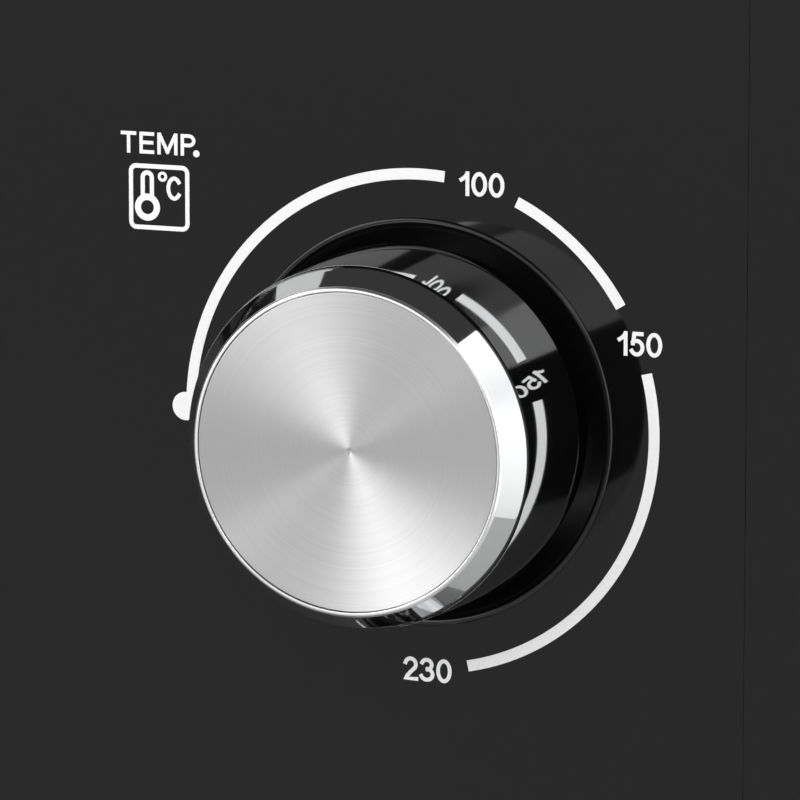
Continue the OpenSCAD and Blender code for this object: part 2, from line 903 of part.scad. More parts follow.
module switch_bore(z) {
  rod_y(y_inside - cut, y_inside + bore_depth, knob_x, z, shaft_r + running_fit);
  for (side = [-1, 1])
    rod_y(y_inside - cut, y_inside + screw_len, knob_x + side * screw_spread, z, screw_r);
}

module thermostat_body() {
  z = knob_z[0];
  color("#d7d2c4")
    difference() {
      union() {
        block([knob_x - switch_w / 2, y_inside, z - switch_h / 2],
          [knob_x + switch_w / 2, y_inside + switch_d, z + switch_h / 2]);
        rod_y(y_inside + switch_d, y_inside + switch_d + boss_h, knob_x, z, boss_r);
      }
      switch_bore(z);
    }
}

// The capillary runs back from the thermostat, up, through the cavity's wall and into its bulb
module capillary_tube() {
  y0 = y_inside + switch_d + boss_h;
  z0 = knob_z[0];
  color("#b87a4b") {
    rod_y(y0, capillary_y, knob_x, z0, capillary_r);
    translate([knob_x, capillary_y, z0]) sphere(capillary_r);
    rod_z(z0, capillary_z, knob_x, capillary_y, capillary_r);
    translate([knob_x, capillary_y, capillary_z]) sphere(capillary_r);
    rod_x(bulb_x, knob_x, capillary_y, capillary_z, capillary_r);
    translate([bulb_x, capillary_y, capillary_z]) sphere(capillary_r);
    rod_y(capillary_y, bulb_y + bulb_joint, bulb_x, capillary_z, capillary_r);
    rod_y(bulb_y, bulb_y + bulb_len, bulb_x, capillary_z, bulb_r);
  }
}

module selector_body() {
  z = knob_z[1];
  color("#2f3f4f")
    difference() {
      union() {
        rod_y(y_inside, y_inside + switch_d, knob_x, z, selector_r);
        for (i = [0 : selector_tabs - 1])
          translate([knob_x, y_inside + switch_d, z]) rotate([0, i * 360 / selector_tabs, 0])
            block([selector_r - tab_inset - tab_w, -tab_h, -tab_t / 2],
              [selector_r - tab_inset, tab_h, tab_t / 2]);
      }
      switch_bore(z);
    }
}

module timer_body() {
  z = knob_z[2];
  color("#c9c4b2")
    difference() {
      block([knob_x - timer_w / 2, y_inside, z - timer_w / 2],
        [knob_x + timer_w / 2, y_inside + timer_d, z + timer_w / 2]);
      switch_bore(z);
    }
}

module timer_bell() {
  y0 = y_inside + timer_d;
  color("#c8cacc")
    translate([knob_x, y0, knob_z[2]]) rotate([-90, 0, 0]) rotate_extrude()
      polygon([[0, 0], [bell_post_r, 0], [bell_post_r, bell_h - bell_t],
        [bell_r - bell_t, bell_h - bell_t - bell_edge], [bell_r - bell_t, bell_edge],
        [bell_r, bell_edge], [bell_r, bell_h - bell_edge], [bell_r - bell_crown, bell_h],
        [0, bell_h]]);
}

module switch_screws() {
  color("#a0a3a7")
    for (z = knob_z, side = [-1, 1]) {
      x = knob_x + side * screw_spread;
      rod_y(y_frame - screw_head_h, y_frame, x, z, screw_head_r);
      rod_y(y_frame, y_inside + screw_len, x, z, screw_r);
    }
}

module d_shape(r) {
  difference() {
    circle(r);
    translate([-r, shaft_r - flat_depth + (r - shaft_r)]) square([2 * r, r]);
  }
}

module control_shaft(index) {
  color("#b9bbbd")
    along_y(y_face - shaft_front, y_inside + bore_depth - bore_end)
      translate([knob_x, knob_z[index]]) d_shape(shaft_r);
}

module knob_shell(index) {
  color("#c9ccd0")
    difference() {
      front_lathe(knob_x, knob_z[index])
        polygon([[core_r, knob_lift], [knob_r - shell_edge, knob_lift],
          [knob_r, knob_lift + shell_edge], [knob_r - shell_taper, shoulder_h],
          [knob_face_r, knob_h - shell_edge], [knob_face_r - shell_edge, knob_h],
          [knob_face_r - knob_rim, knob_h], [knob_face_r - knob_rim, disc_seat], [0, disc_seat],
          [0, web_z], [core_r, web_z]]);
      translate([knob_x, y_face, knob_z[index]]) rotate([0, -pointer_angle, 0])
        block([knob_r - shell_taper - pointer_depth, -shoulder_h + pointer_tip, -pointer_w / 2],
          [knob_r + cut, -shoulder_h + pointer_tip + pointer_len, pointer_w / 2]);
    }
}

module knob_face(index) {
  color("#b7b9bc")
    front_lathe(knob_x, knob_z[index])
      translate([0, disc_seat]) square([knob_face_r - knob_rim - fit, disc_t]);
}

module knob_core(index) {
  color("#101011")
    difference() {
      front_lathe(knob_x, knob_z[index])
        polygon([[0, hub_back], [hub_r, hub_back], [hub_r, core_back], [core_r - fit, core_back],
          [core_r - fit, web_z], [0, web_z]]);
      along_y(y_face - shaft_front, y_face + bezel_depth)
        translate([knob_x, knob_z[index]]) d_shape(shaft_r + running_fit);
    }
}

module temperature_knob_shell() { knob_shell(0); }
module temperature_knob_face() { knob_face(0); }
module temperature_knob_core() { knob_core(0); }
module temperature_shaft() { control_shaft(0); }
module function_knob_shell() { knob_shell(1); }
module function_knob_face() { knob_face(1); }
module function_knob_core() { knob_core(1); }
module function_shaft() { control_shaft(1); }
module timer_knob_shell() { knob_shell(2); }
module timer_knob_face() { knob_face(2); }
module timer_knob_core() { knob_core(2); }
module timer_shaft() { control_shaft(2); }

// Door

// Runs its children at each hinge, in X measured inwards from the door's side
module at_hinges() {
  translate([door_x0, 0, 0]) children();
  translate([door_x1, 0, 0]) mirror([1, 0, 0]) children();
}

module door_side() {
  translate([y_glass_back, hinge_z]) square([door_t - glass_t, front_z1 - hinge_z]);
  translate([y_glass_back, door_z0]) square([hinge_y - y_glass_back, front_z1 - door_z0]);
  translate([hinge_y, hinge_z]) circle(hinge_inset);
}

module door_frame() {
  color("#1a1a1c")
    difference() {
      union() {
        difference() {
          intersection() {
            along_y(y_glass_back, y_door_back)
              rounded(door_x0, door_z0, door_x1, front_z1, door_r);
            along_x(door_x0, door_x1) door_side();
          }
          along_y(y_glass_back - cut, y_door_back - door_wall)
            rounded(door_x0 + door_wall, door_z0 + door_wall, door_x1 - door_wall,
              front_z1 - door_wall, door_r - door_wall);
        }
        along_y(y_glass_back, y_door_back)
          rounded(window_x0 - door_wall, window_z0 - door_wall, window_x1 + door_wall,
            window_z1 + door_wall, window_r + door_wall);
        at_hinges()
          along_x(ear_offset, ear_offset + ear_t) intersection() {
            door_side();
            translate([y_glass_back, door_z0]) square([door_t - glass_t, ear_h]);
          }
      }
      along_y(y_glass_back - cut, y_door_back + cut)
        rounded(window_x0, window_z0, window_x1, window_z1, window_r);
      at_hinges() {
        block([lug_offset - notch_gap, y_glass_back + notch_back, door_z0 - cut],
          [lug_offset + lug_t + notch_gap, y_door_back + cut, hinge_z + notch_h]);
        rod_x(ear_offset - cut, ear_offset + ear_t + cut, hinge_y, hinge_z, pin_r + running_fit);
      }
    }
}

module door_glass() {
  color("#2a2d30", 0.6)
    along_y(y_face, y_glass_back) difference() {
      rounded(door_x0, door_z0, door_x1, front_z1, door_r);
      for (x = post_x)
        translate([x, handle_z]) circle(handle_screw_r + 2 * fit);
    }
}

module door_handle() {
  x0 = door_x - handle_len / 2;
  edge_r = handle_r - handle_edge;
  color("#c4c6c8")
    difference() {
      translate([x0, handle_y, handle_z]) rotate([0, 90, 0]) rotate_extrude()
        polygon([[0, 0], [edge_r, 0], [handle_r, handle_edge], [handle_r, handle_len - handle_edge],
          [edge_r, handle_len], [0, handle_len]]);
      for (x = post_x)
        rod_y(handle_y, handle_y + handle_r + cut, x, handle_z, handle_screw_r);
    }
}

module handle_posts() {
  color("#c4c6c8")
    difference() {
      for (x = post_x)
        rod_y(handle_y, y_face, x, handle_z, post_r);
      rod_x(door_x0, door_x1, handle_y, handle_z, handle_r);
      for (x = post_x)
        rod_y(handle_y, y_face + cut, x, handle_z, handle_screw_r + fit);
    }
}

module handle_screws() {
  color("#8a8d91")
    for (x = post_x) {
      rod_y(handle_y, y_glass_back, x, handle_z, handle_screw_r);
      rod_y(y_glass_back, y_glass_back + handle_head_h, x, handle_z, handle_head_r);
    }
}

module rack_hooks() {
  color("#b9bbbd")
    for (x = hook_x) {
      rod_y(y_door_back, hook_y, x, hook_z, hook_r);
      translate([x, hook_y, hook_z]) sphere(hook_r);
      rod_z(hook_z, rack_z, x, hook_y, hook_r);
    }
}

module door_gasket() {
  color("#3b3b3d")
    along_y(y_frame - gasket_t, y_frame) difference() {
      rounded(mouth_x0 - gasket_w, mouth_z0 - gasket_w, mouth_x1 + gasket_w, mouth_z1 + gasket_w,
        mouth_r + gasket_w);
      rounded(mouth_x0, mouth_z0, mouth_x1, mouth_z1, mouth_r);
    }
}

module hinge_lugs() {
  color("#8a8d91")
    at_hinges()
      along_x(lug_offset, lug_offset + lug_t) difference() {
        union() {
          translate([hinge_y, hinge_z]) circle(lug_r);
          translate([hinge_y, hinge_z - lug_r]) square([y_frame - hinge_y, 2 * lug_r]);
        }
        translate([hinge_y, hinge_z]) circle(pin_r);
      }
}

module hinge_pins() {
  color("#a0a3a7")
    at_hinges()
      rod_x(pin_start, pin_start + pin_len, hinge_y, hinge_z, pin_r);
}

// Door spring: a coil about the hinge pin, inside the door frame

function coil_point(i) = let (a = i * 360 / spring_steps)
  [spring_start + spring_wire_d / 2 + i * spring_pitch / spring_steps,
    hinge_y + spring_r * cos(a), hinge_z + spring_r * sin(a)];

function coil_points() = [for (i = [0 : spring_curls * spring_steps]) coil_point(i)];

function ring_around(p, i) = let (a = i * 360 / spring_steps)
  [for (k = [0 : spring_sides - 1]) let (b = k * 360 / spring_sides)
    p + spring_wire_d / 2 * [sin(b), cos(b) * cos(a), cos(b) * sin(a)]];

coil_route = coil_points();
curl_gap = min([for (i = [0 : len(coil_route) - 1], j = [0 : len(coil_route) - 1])
  if (j - i > spring_steps / 2) norm(coil_route[j] - coil_route[i])]) - spring_wire_d;
echo(spring_least_gap = curl_gap);

module coil() {
  rings = len(coil_route);
  points = [for (i = [0 : rings - 1]) each ring_around(coil_route[i], i)];
  sides = [for (i = [0 : rings - 2], k = [0 : spring_sides - 1])
    let (a = i * spring_sides + k, b = i * spring_sides + (k + 1) % spring_sides)
      each [[a, b, a + spring_sides], [b, b + spring_sides, a + spring_sides]]];
  last = (rings - 1) * spring_sides;
  caps = [for (k = [1 : spring_sides - 2])
    each [[0, k + 1, k], [last, last + k, last + k + 1]]];
  polyhedron(points, concat(sides, caps));
}

module door_springs() {
  color("#a8abae")
    at_hinges() coil();
}

// Rack and trays

module wire_rack() {
  color("#c9ccd0") {
    for (x = [rack_x0 + rack_r, rack_x1 - rack_r])
      rod_y(rack_y0, rack_y1, x, rack_z, rack_r);
    for (y = [rack_y0, (rack_y0 + rack_y1) / 2, rack_y1])
      rod_x(rack_x0 + rack_r, rack_x1 - rack_r, y, rack_z, rack_r);
    for (x = [rack_x0 + rack_r, rack_x1 - rack_r], y = [rack_y0, rack_y1])
      translate([x, y, rack_z]) sphere(rack_r);
    for (i = [0 : wire_count - 1])
      rod_y(rack_y0, rack_y1, wire_x0 + i * wire_pitch, wire_z, wire_r);
  }
}

module baking_tray() {
  color("#3c3c40")
    difference() {
      union() {
        along_z(tray_z, tray_z + tray_h)
          rounded(tray_x0, tray_y0, tray_x1, tray_y1, tray_r);
        along_z(tray_z + tray_h - tray_t, tray_z + tray_h)
          rounded(tray_x0 - tray_rim, tray_y0 - tray_rim, tray_x1 + tray_rim, tray_y1 + tray_rim,
            tray_r + tray_rim);
      }
      along_z(tray_z + tray_t, tray_z + tray_h + cut)
        rounded(tray_x0 + tray_t, tray_y0 + tray_t, tray_x1 - tray_t, tray_y1 - tray_t,
          tray_r - tray_t);
    }
}

module crumb_tray() {
  z1 = crumb_z + crumb_h;
  color("#4a4b4e") {
    difference() {
      block([crumb_x0, crumb_front_y, crumb_z], [crumb_x1, crumb_y1, z1]);
      block([crumb_x0 + tray_t, crumb_front_y - cut, crumb_z + tray_t],
        [crumb_x1 - tray_t, crumb_y1 - tray_t, z1 + cut]);
    }
    difference() {
      block([door_x0, crumb_front_y, front_z0], [door_x1, y_frame - slide_gap, crumb_front_z1]);
      block([door_x0 + crumb_front_t, crumb_front_y + crumb_front_t, front_z0 + crumb_front_t],
        [door_x1 - crumb_front_t, y_frame, crumb_front_z1 - crumb_front_t]);
    }
    block([cavity_x - stop_w / 2, crumb_y1 - stop_t, crumb_z - stop_h],
      [cavity_x + stop_w / 2, crumb_y1, crumb_z + tray_t]);
    block([door_x - grip_w / 2, crumb_front_y - grip_reach, grip_z1 - grip_t],
      [door_x + grip_w / 2, crumb_front_y, grip_z1]);
    block([door_x - grip_w / 2, crumb_front_y - grip_reach, grip_z1 - grip_h],
      [door_x + grip_w / 2, crumb_front_y - grip_reach + grip_t, grip_z1]);
  }
}

// Underside and rear

module feet() {
  color("#161616")
    difference() {
      for (place = foot_places)
        translate([place.x, place.y, 0]) rotate_extrude()
          polygon([[0, 0], [foot_r - 2 * foot_edge, 0], [foot_r - foot_edge, foot_edge], [foot_r, foot_h],
            [0, foot_h]]);
      for (place = foot_places) {
        rod_z(-cut, foot_recess + foot_head_h, place.x, place.y, foot_head_r + fit);
        rod_z(0, foot_h + cut, place.x, place.y, foot_screw_r + fit);
      }
    }
}

module foot_screws() {
  color("#a0a3a7")
    for (place = foot_places) {
      rod_z(foot_recess, foot_recess + foot_head_h, place.x, place.y, foot_head_r);
      rod_z(foot_recess, foot_h + foot_screw_in, place.x, place.y, foot_screw_r);
    }
}

module cord_gland() {
  color("#0f0f10")
    translate([gland_x, y_back, gland_z]) rotate([-90, 0, 0]) rotate_extrude()
      polygon([[gland_bore_r, -gland_in], [gland_r, -gland_in], [gland_r, 0], [gland_flange_r, 0],
        [gland_flange_r, gland_flange_t], [gland_r, gland_flange_t + gland_step],
        [gland_r - gland_taper, gland_out], [gland_bore_r, gland_out]]);
}

module terminal_block() {
  y0 = y_back - terminal_from_back;
  y1 = y0 + terminal_d;
  z0 = base_z + sheet_t;
  z1 = z0 + terminal_h;
  color("#e6e2d6")
    difference() {
      block([knob_x - terminal_w / 2, y0, z0], [knob_x + terminal_w / 2, y1, z1]);
      for (i = [-1 : 1]) {
        x = knob_x + i * terminal_pitch;
        rod_y(y0 - cut, y1 + cut, x, z0 + terminal_hole_z, terminal_hole_r);
        rod_z(z0 + terminal_hole_z, z1 + cut, x, (y0 + y1) / 2, terminal_screw_r);
      }
    }
}

module rear_screws() {
  color("#a0a3a7")
    for (place = rear_screw_xz) {
      rod_y(y_back, y_back + screw_head_h, place.x, place.y, screw_head_r);
      rod_y(y_cover - screw_len, y_back, place.x, place.y, screw_r);
    }
}

cabinet_wrapper();
base_pan();
rear_cover();
rear_spacers();
front_frame();
control_panel();
panel_end_trim();
dial_bezels();
indicator_lens();
oven_cavity();
rack_guides();
upper_heaters();
lower_heaters();
heater_insulators();
heat_shield();
fan_housing();
motor_core();
motor_coil();
motor_bracket();
thermostat_body();
capillary_tube();
selector_body();
timer_body();
timer_bell();
switch_screws();
door_gasket();
hinge_lugs();
hinge_pins();
door_springs();
feet();
foot_screws();
cord_gland();
terminal_block();
rear_screws();
door_frame();
door_glass();
door_handle();
handle_posts();
handle_screws();
rack_hooks();
wire_rack();
baking_tray();
crumb_tray();
temperature_knob_shell();
temperature_knob_face();
temperature_knob_core();
temperature_shaft();
function_knob_shell();
function_knob_face();
function_knob_core();
function_shaft();
timer_knob_shell();
timer_knob_face();
timer_knob_core();
timer_shaft();
convection_fan();
fan_shaft();
cooling_fan();
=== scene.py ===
"""Countertop convection oven: finishes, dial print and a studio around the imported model."""

import functools
import json
import math

import bmesh
import bpy
from bpy.props import FloatProperty, FloatVectorProperty, IntProperty, PointerProperty
from bpy.types import NodeSocket, Operator, Panel, PropertyGroup
from mathutils import Matrix, Vector

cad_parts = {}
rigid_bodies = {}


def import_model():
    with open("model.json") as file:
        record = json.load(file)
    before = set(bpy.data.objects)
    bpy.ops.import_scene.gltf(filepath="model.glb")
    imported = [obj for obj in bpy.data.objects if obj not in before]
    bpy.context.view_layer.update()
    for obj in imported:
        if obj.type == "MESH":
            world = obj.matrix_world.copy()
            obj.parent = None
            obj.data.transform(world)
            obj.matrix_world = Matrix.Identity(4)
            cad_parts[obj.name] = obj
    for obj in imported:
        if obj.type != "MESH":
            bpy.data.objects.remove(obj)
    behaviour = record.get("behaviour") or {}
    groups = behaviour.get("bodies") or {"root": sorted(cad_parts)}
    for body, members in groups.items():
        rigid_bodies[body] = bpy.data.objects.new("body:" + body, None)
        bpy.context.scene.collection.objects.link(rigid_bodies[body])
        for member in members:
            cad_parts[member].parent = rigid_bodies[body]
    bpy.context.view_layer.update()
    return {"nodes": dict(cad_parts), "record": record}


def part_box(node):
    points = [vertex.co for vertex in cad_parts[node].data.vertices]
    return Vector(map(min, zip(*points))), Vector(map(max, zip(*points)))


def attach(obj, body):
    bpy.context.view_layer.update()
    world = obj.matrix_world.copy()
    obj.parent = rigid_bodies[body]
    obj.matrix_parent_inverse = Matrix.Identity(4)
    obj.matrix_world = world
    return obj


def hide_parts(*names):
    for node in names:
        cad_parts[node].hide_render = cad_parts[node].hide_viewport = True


bl_info = {
    "name": "Countertop Convection Oven",
    "version": (1, 0, 0),
    "blender": (4, 5, 0),
    "location": "3D View > Sidebar > Oven",
    "description": "Knobs, dial print, panel, door, cabinet and studio for the packed oven",
    "category": "Object",
}

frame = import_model()

MM = 0.001
TINY = 1e-7  # metres; points this near are one
FRONT = Vector((0, -1, 0))
KNOBS = ("temperature", "function", "timer")
FACE_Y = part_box("control_panel")[0].y
BODIES = frame["record"]["behaviour"]["bodies"]
BODY_OF = {node: body for body, nodes in BODIES.items() for node in nodes}


def middle_of(node):
    low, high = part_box(node)
    return (low + high) / 2


def half_width(node):
    low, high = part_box(node)
    return (high.x - low.x) / 2


def dial_centre(knob):
    """Where a knob's axis meets the front of the panel."""
    middle = middle_of(knob + "_knob_face")
    return Vector((middle.x, FACE_Y, middle.z))


# Values a user would change


def length(name, text, default):
    return FloatProperty(name=name, description=text, default=default, subtype="DISTANCE", unit="LENGTH")


def colour(name, text, default):
    return FloatVectorProperty(name=name, description=text, default=default, subtype="COLOR", min=0, max=1)


def angle(name, text, degrees):
    default = math.radians(degrees)
    return FloatProperty(name=name, description=text, default=default, subtype="ANGLE", unit="ROTATION")


def power(name, text, watts):
    return FloatProperty(name=name, description=text, default=watts, subtype="POWER", unit="POWER", min=0)


class OvenKnobs(PropertyGroup):
    """Section of the chrome knobs."""

    radius: length("Radius", "Radius of a knob at its back edge", 0.0228)
    face_radius: length("Face radius", "Radius of a knob's bright front edge", 0.0200)
    height: length("Height", "Height of a knob's front above the panel", 0.0230)
    bevel: length("Bevel", "Height of the bevel at a knob's front", 0.0030)
    taper: length("Taper", "How much less a knob's radius is at its shoulder", 0.00075)
    lift: length("Lift", "Gap between the panel and the chrome", 0.0045)
    rim: length("Rim", "Width of the bright rim around the spun disc", 0.0006)
    dish: length("Dish", "Depth of the spun disc's hollow", 0.0009)
    sides: IntProperty(name="Sides", description="Segments around a knob", default=192, min=48, max=360)


class OvenPrint(PropertyGroup):
    """Print around the dials."""

    arc_radius: length("Arc radius", "Radius of the printed arcs at their middle", 0.0306)
    arc_width: length("Arc width", "Width of the printed arcs", 0.00138)
    numeral_height: length("Numeral height", "Height of the dial numbers", 0.0030)
    numeral_stroke: length("Numeral stroke", "Width of a stroke in the dial numbers", 0.00049)
    label_height: length("Label height", "Height of the words", 0.0027)
    label_stroke: length("Label stroke", "Width of a stroke in the words", 0.00045)
    thickness: length("Thickness", "Thickness of the ink", 0.00004)


class OvenFinishes(PropertyGroup):
    """Colours of the main finishes."""

    panel: colour("Panel", "Gloss panel and glass border", (0.0035, 0.0035, 0.0037))
    coat: colour("Powder coat", "Cabinet and frames", (0.0130, 0.0130, 0.0138))
    chrome: colour("Chrome", "Knobs and rack", (0.66, 0.665, 0.67))
    disc: colour("Spun disc", "Faces of the knobs", (0.60, 0.60, 0.60))
    ink: colour("Ink", "Print on the panel", (0.88, 0.88, 0.88))
    stainless: colour("Stainless", "Handle and posts", (0.56, 0.56, 0.565))
    liner: colour("Liner", "Inside of the oven", (0.42, 0.425, 0.43))
    glass: colour("Glass", "Tint of the door glass", (0.62, 0.64, 0.65))
    floor: colour("Floor", "Paper under the oven", (0.60, 0.60, 0.60))


class OvenStudio(PropertyGroup):
    """Camera and light."""

    azimuth: angle("Azimuth", "Turn of the camera to the right of the oven's front", 22.66)
    elevation: angle("Elevation", "Rise of the camera above the horizon", 9.81)
    focal_length: FloatProperty(
        name="Focal length", description="Lens in millimetres", default=300.0, min=50, max=600
    )
    distance: length("Distance", "From the panel to the camera", 0.8155)
    aim_x: length("Aim across", "Middle of the picture from the temperature dial's axis", -0.0026)
    aim_z: length("Aim up", "Middle of the picture above the temperature dial's axis", 0.00257)
    key_light: power("Key light", "Soft light at the upper left", 4.4)
    fill_light: power("Fill light", "Broad fill from the front, not seen in metal", 195.0)
    front_glow: power("Front glow", "Soft panel near the camera, seen in gloss only", 1.35)
    disc_glow: power("Disc glow", "Soft panel at the left, seen in gloss only", 7.8)
    upper_glow: power("Upper glow", "Dim strip above the camera, seen in gloss only", 0.57)
    lower_glow: power("Lower glow", "Strip at the camera's height, seen in gloss only", 0.6)
    top_glow: power("Top glow", "Dim round panel above the oven, seen in gloss only", 0.5)
    side_glow: power("Side glow", "Soft panel at the right, seen in gloss only", 3.6)


def knobs():
    return bpy.context.scene.oven_knobs


def ink():
    return bpy.context.scene.oven_print


def paint():
    return bpy.context.scene.oven_finishes


def studio():
    return bpy.context.scene.oven_studio


# Mesh work


def linked(name, data):
    """A new object in the scene."""
    made = bpy.data.objects.new(name, data)
    bpy.context.scene.collection.objects.link(made)
    return made


def place(mesh, name, material, like, hides=True):
    """Makes a mesh a piece that rides with a node and, as a rule, stands for it."""
    mesh.name = name
    if material:
        mesh.materials.clear()
        mesh.materials.append(finish(material))
    piece = linked(name, mesh)
    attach(piece, BODY_OF[like])
    if hides:
        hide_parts(like)


def dress(material, *nodes):
    """Gives carried-over nodes a finish."""
    for node in nodes:
        frame["nodes"][node].material_slots[0].material = finish(material)


def evaluated(holder):
    """The plain mesh of an object's modifiers or curve; the object goes."""
    bpy.context.scene.collection.objects.link(holder)
    graph = bpy.context.evaluated_depsgraph_get()
    mesh = bpy.data.meshes.new_from_object(holder.evaluated_get(graph), depsgraph=graph)
    bpy.data.objects.remove(holder)
    return mesh


def flushed(bm, name="piece"):
    """The mesh of a bmesh, which goes."""
    mesh = bpy.data.meshes.new(name)
    bm.to_mesh(mesh)
    bm.free()
    return mesh


def absorb(bm, *meshes):
    """Takes meshes into a bmesh; they go."""
    for mesh in meshes:
        bm.from_mesh(mesh)
        bpy.data.meshes.remove(mesh)


def joined(*meshes):
    bm = bmesh.new()
    absorb(bm, *meshes)
    return flushed(bm)


def smooth(mesh, sharp=30.0):
    """Smooth shading that keeps creases, with flat faces kept flat beside rounded edges."""
    mesh.polygons.foreach_set("use_smooth", [True] * len(mesh.polygons))
    mesh.set_sharp_from_angle(angle=math.radians(sharp))
    holder = bpy.data.objects.new("smooth", mesh)
    weighted = holder.modifiers.new("weighted", "WEIGHTED_NORMAL")
    weighted.keep_sharp = True
    weighted.weight = 100
    done = evaluated(holder)
    bpy.data.meshes.remove(mesh)
    return done


def closed(bm):
    """A smooth mesh from a bmesh, with its doubles merged, normals outward and creases kept."""
    bmesh.ops.remove_doubles(bm, verts=bm.verts, dist=TINY)
    bmesh.ops.recalc_face_normals(bm, faces=bm.faces)
    return smooth(flushed(bm))


def skin(node, name, material):
    """A merged, smooth-shaded copy of a node, which replaces it."""
    weld, flat = 2e-6, math.radians(0.05)
    bm = bmesh.new()
    bm.from_mesh(frame["nodes"][node].data)
    bmesh.ops.remove_doubles(bm, verts=bm.verts, dist=weld)
    bmesh.ops.dissolve_degenerate(bm, edges=bm.edges, dist=TINY)
    bmesh.ops.dissolve_limit(bm, angle_limit=flat, verts=bm.verts, edges=bm.edges)
    place(smooth(flushed(bm)), name, material, node)


def softened(points, steps=5):
    """A closed profile of (radius, height, fillet) in mm, with its corners rounded, in metres."""
    most = 0.48  # share of a side that a fillet may take
    out = []
    for i, (r, h, fillet) in enumerate(points):
        corner = Vector((r, h))
        before = Vector(points[i - 1][:2]) - corner
        after = Vector(points[(i + 1) % len(points)][:2]) - corner
        if fillet <= 0:
            out.append(corner * MM)
            continue
        run = min(fillet, most * before.length, most * after.length)
        a = corner + before.normalized() * run
        b = corner + after.normalized() * run
        for k in range(steps + 1):
            t = k / steps
            out.append((a * (1 - t) ** 2 + corner * 2 * t * (1 - t) + b * t * t) * MM)
    return out


def turned(profile, origins, sides, axis=FRONT):
    """A closed profile turned about an axis at each origin, with a UV map round and along it."""
    axis = Vector(axis)
    across = Vector((0, 1, 0)) if axis.x else Vector((1, 0, 0))
    up = axis.cross(across)
    angles = [2 * math.pi * k / sides for k in range(sides)]
    spokes = [across * math.cos(a) + up * math.sin(a) for a in angles]
    along = [0.0]
    for before, after in zip(profile, profile[1:]):
        along.append(along[-1] + (after - before).length)
    bm = bmesh.new()
    uv = bm.loops.layers.uv.new("turned")
    for origin in origins:
        rings = []
        for r, h in profile:
            middle = Vector(origin) + axis * h
            used = spokes if r > TINY else spokes[:1]
            rings.append([bm.verts.new(middle + spoke * r) for spoke in used])
        for i, first in enumerate(rings):
            j = (i + 1) % len(rings)
            second = rings[j]
            if len(first) == len(second) == 1:
                continue
            for k in range(sides):
                corners = ((first, i, k), (second, j, k), (second, j, k + 1), (first, i, k + 1))
                kept = {}
                for ring, row, column in corners:
                    kept.setdefault(ring[column % len(ring)], (row, column))
                face = bm.faces.new(list(kept))
                for loop, (row, column) in zip(face.loops, kept.values()):
                    loop[uv].uv = (column / sides, along[row] if j or row else along[-1])
    return closed(bm)


def strip(bm, first, second, ring=False):
    """Faces between two rows of corners."""
    for k in range(len(first) if ring else len(first) - 1):
        n = (k + 1) % len(first)
        bm.faces.new((first[k], first[n], second[n], second[k]))


def bow(x, z, rx, rz, start, end, steps=20):
    """Points along part of an ellipse, from one angle in degrees to another."""
    turns = [math.radians(start + (end - start) * k / steps) for k in range(steps + 1)]
    return [(x + rx * math.cos(a), z + rz * math.sin(a)) for a in turns]


def circle(x, z, r, steps):
    return bow(x, z, r, r, 0, 360, steps)[:-1]


def rounded_box(x0, z0, x1, z1, r, steps=6):
    """A closed outline with round corners."""
    right, left, high, low = x1 - r, x0 + r, z1 - r, z0 + r
    out = []
    for x, z, start in ((right, high, 0), (left, high, 90), (left, low, 180), (right, low, 270)):
        out += bow(x, z, r, r, start, start + 90, steps)
    return out


def polyline(curve, points, ring):
    """A straight-sided spline through points."""
    spline = curve.splines.new("POLY")
    spline.points.add(len(points) - 1)
    for corner, point in zip(spline.points, points):
        corner.co = (*point, 1)
    spline.use_cyclic_u = ring


def plate(outlines, y_front, y_back, edge=0.0):
    """A plate facing the front from closed outlines in X and Z; inner outlines are holes."""
    curve = bpy.data.curves.new("outline", "CURVE")
    curve.dimensions = "2D"
    curve.fill_mode = "BOTH"
    for outline in outlines:
        polyline(curve, [(x, z, 0) for x, z in outline], True)
    curve.extrude = (y_back - y_front) / 2 - edge
    curve.bevel_depth = edge
    curve.bevel_resolution = 3
    curve.offset = -edge
    mesh = evaluated(bpy.data.objects.new("outline", curve))
    upright = Matrix.Rotation(math.pi / 2, 4, "X")
    mesh.transform(Matrix.Translation((0, (y_front + y_back) / 2, 0)) @ upright)
    bm = bmesh.new()
    absorb(bm, mesh)
    return closed(bm)


def cover(low, high, holes=()):
    """An open-backed cover that fills a box, with rounded front edges and holes through its face."""
    corner, edge, wall, weld, steps = 0.0008, 0.0001, 0.0025, 1e-6, 5

    def outline(inset, r):
        return rounded_box(low.x + inset, low.z + inset, high.x - inset, high.z - inset, r)

    rings = []
    for k in range(steps + 1):
        a = math.pi / 2 * k / steps
        inset = edge * (1 - math.sin(a))
        rings.append((outline(inset, corner - inset), low.y + edge * (1 - math.cos(a))))
    inner = outline(wall, corner)
    rings += [(rings[-1][0], high.y), (inner, high.y), (inner, low.y + wall)]
    bores = [[(hole, low.y), (hole, low.y + wall)] for hole in holes]
    bm = bmesh.new()
    for shape, y in (rings[0], rings[-1]):
        absorb(bm, plate([shape, *holes], y, y))
    for chain in (rings, *bores):
        rows = [[bm.verts.new((x, y, z)) for x, z in shape] for shape, y in chain]
        for first, second in zip(rows, rows[1:]):
            strip(bm, first, second, ring=True)
    bmesh.ops.remove_doubles(bm, verts=bm.verts, dist=weld)
    return closed(bm)


# Dial print

STEM = [(0, 0), (0, 1)]
BOWL = [(0, 1), (0.55, 1), *bow(0.55, 0.74, 0.45, 0.26, 80, -80), (0.55, 0.48), (0, 0.48)]
ROUND = bow(0.5, 0.5, 0.5, 0.5, 0, 360, 32)
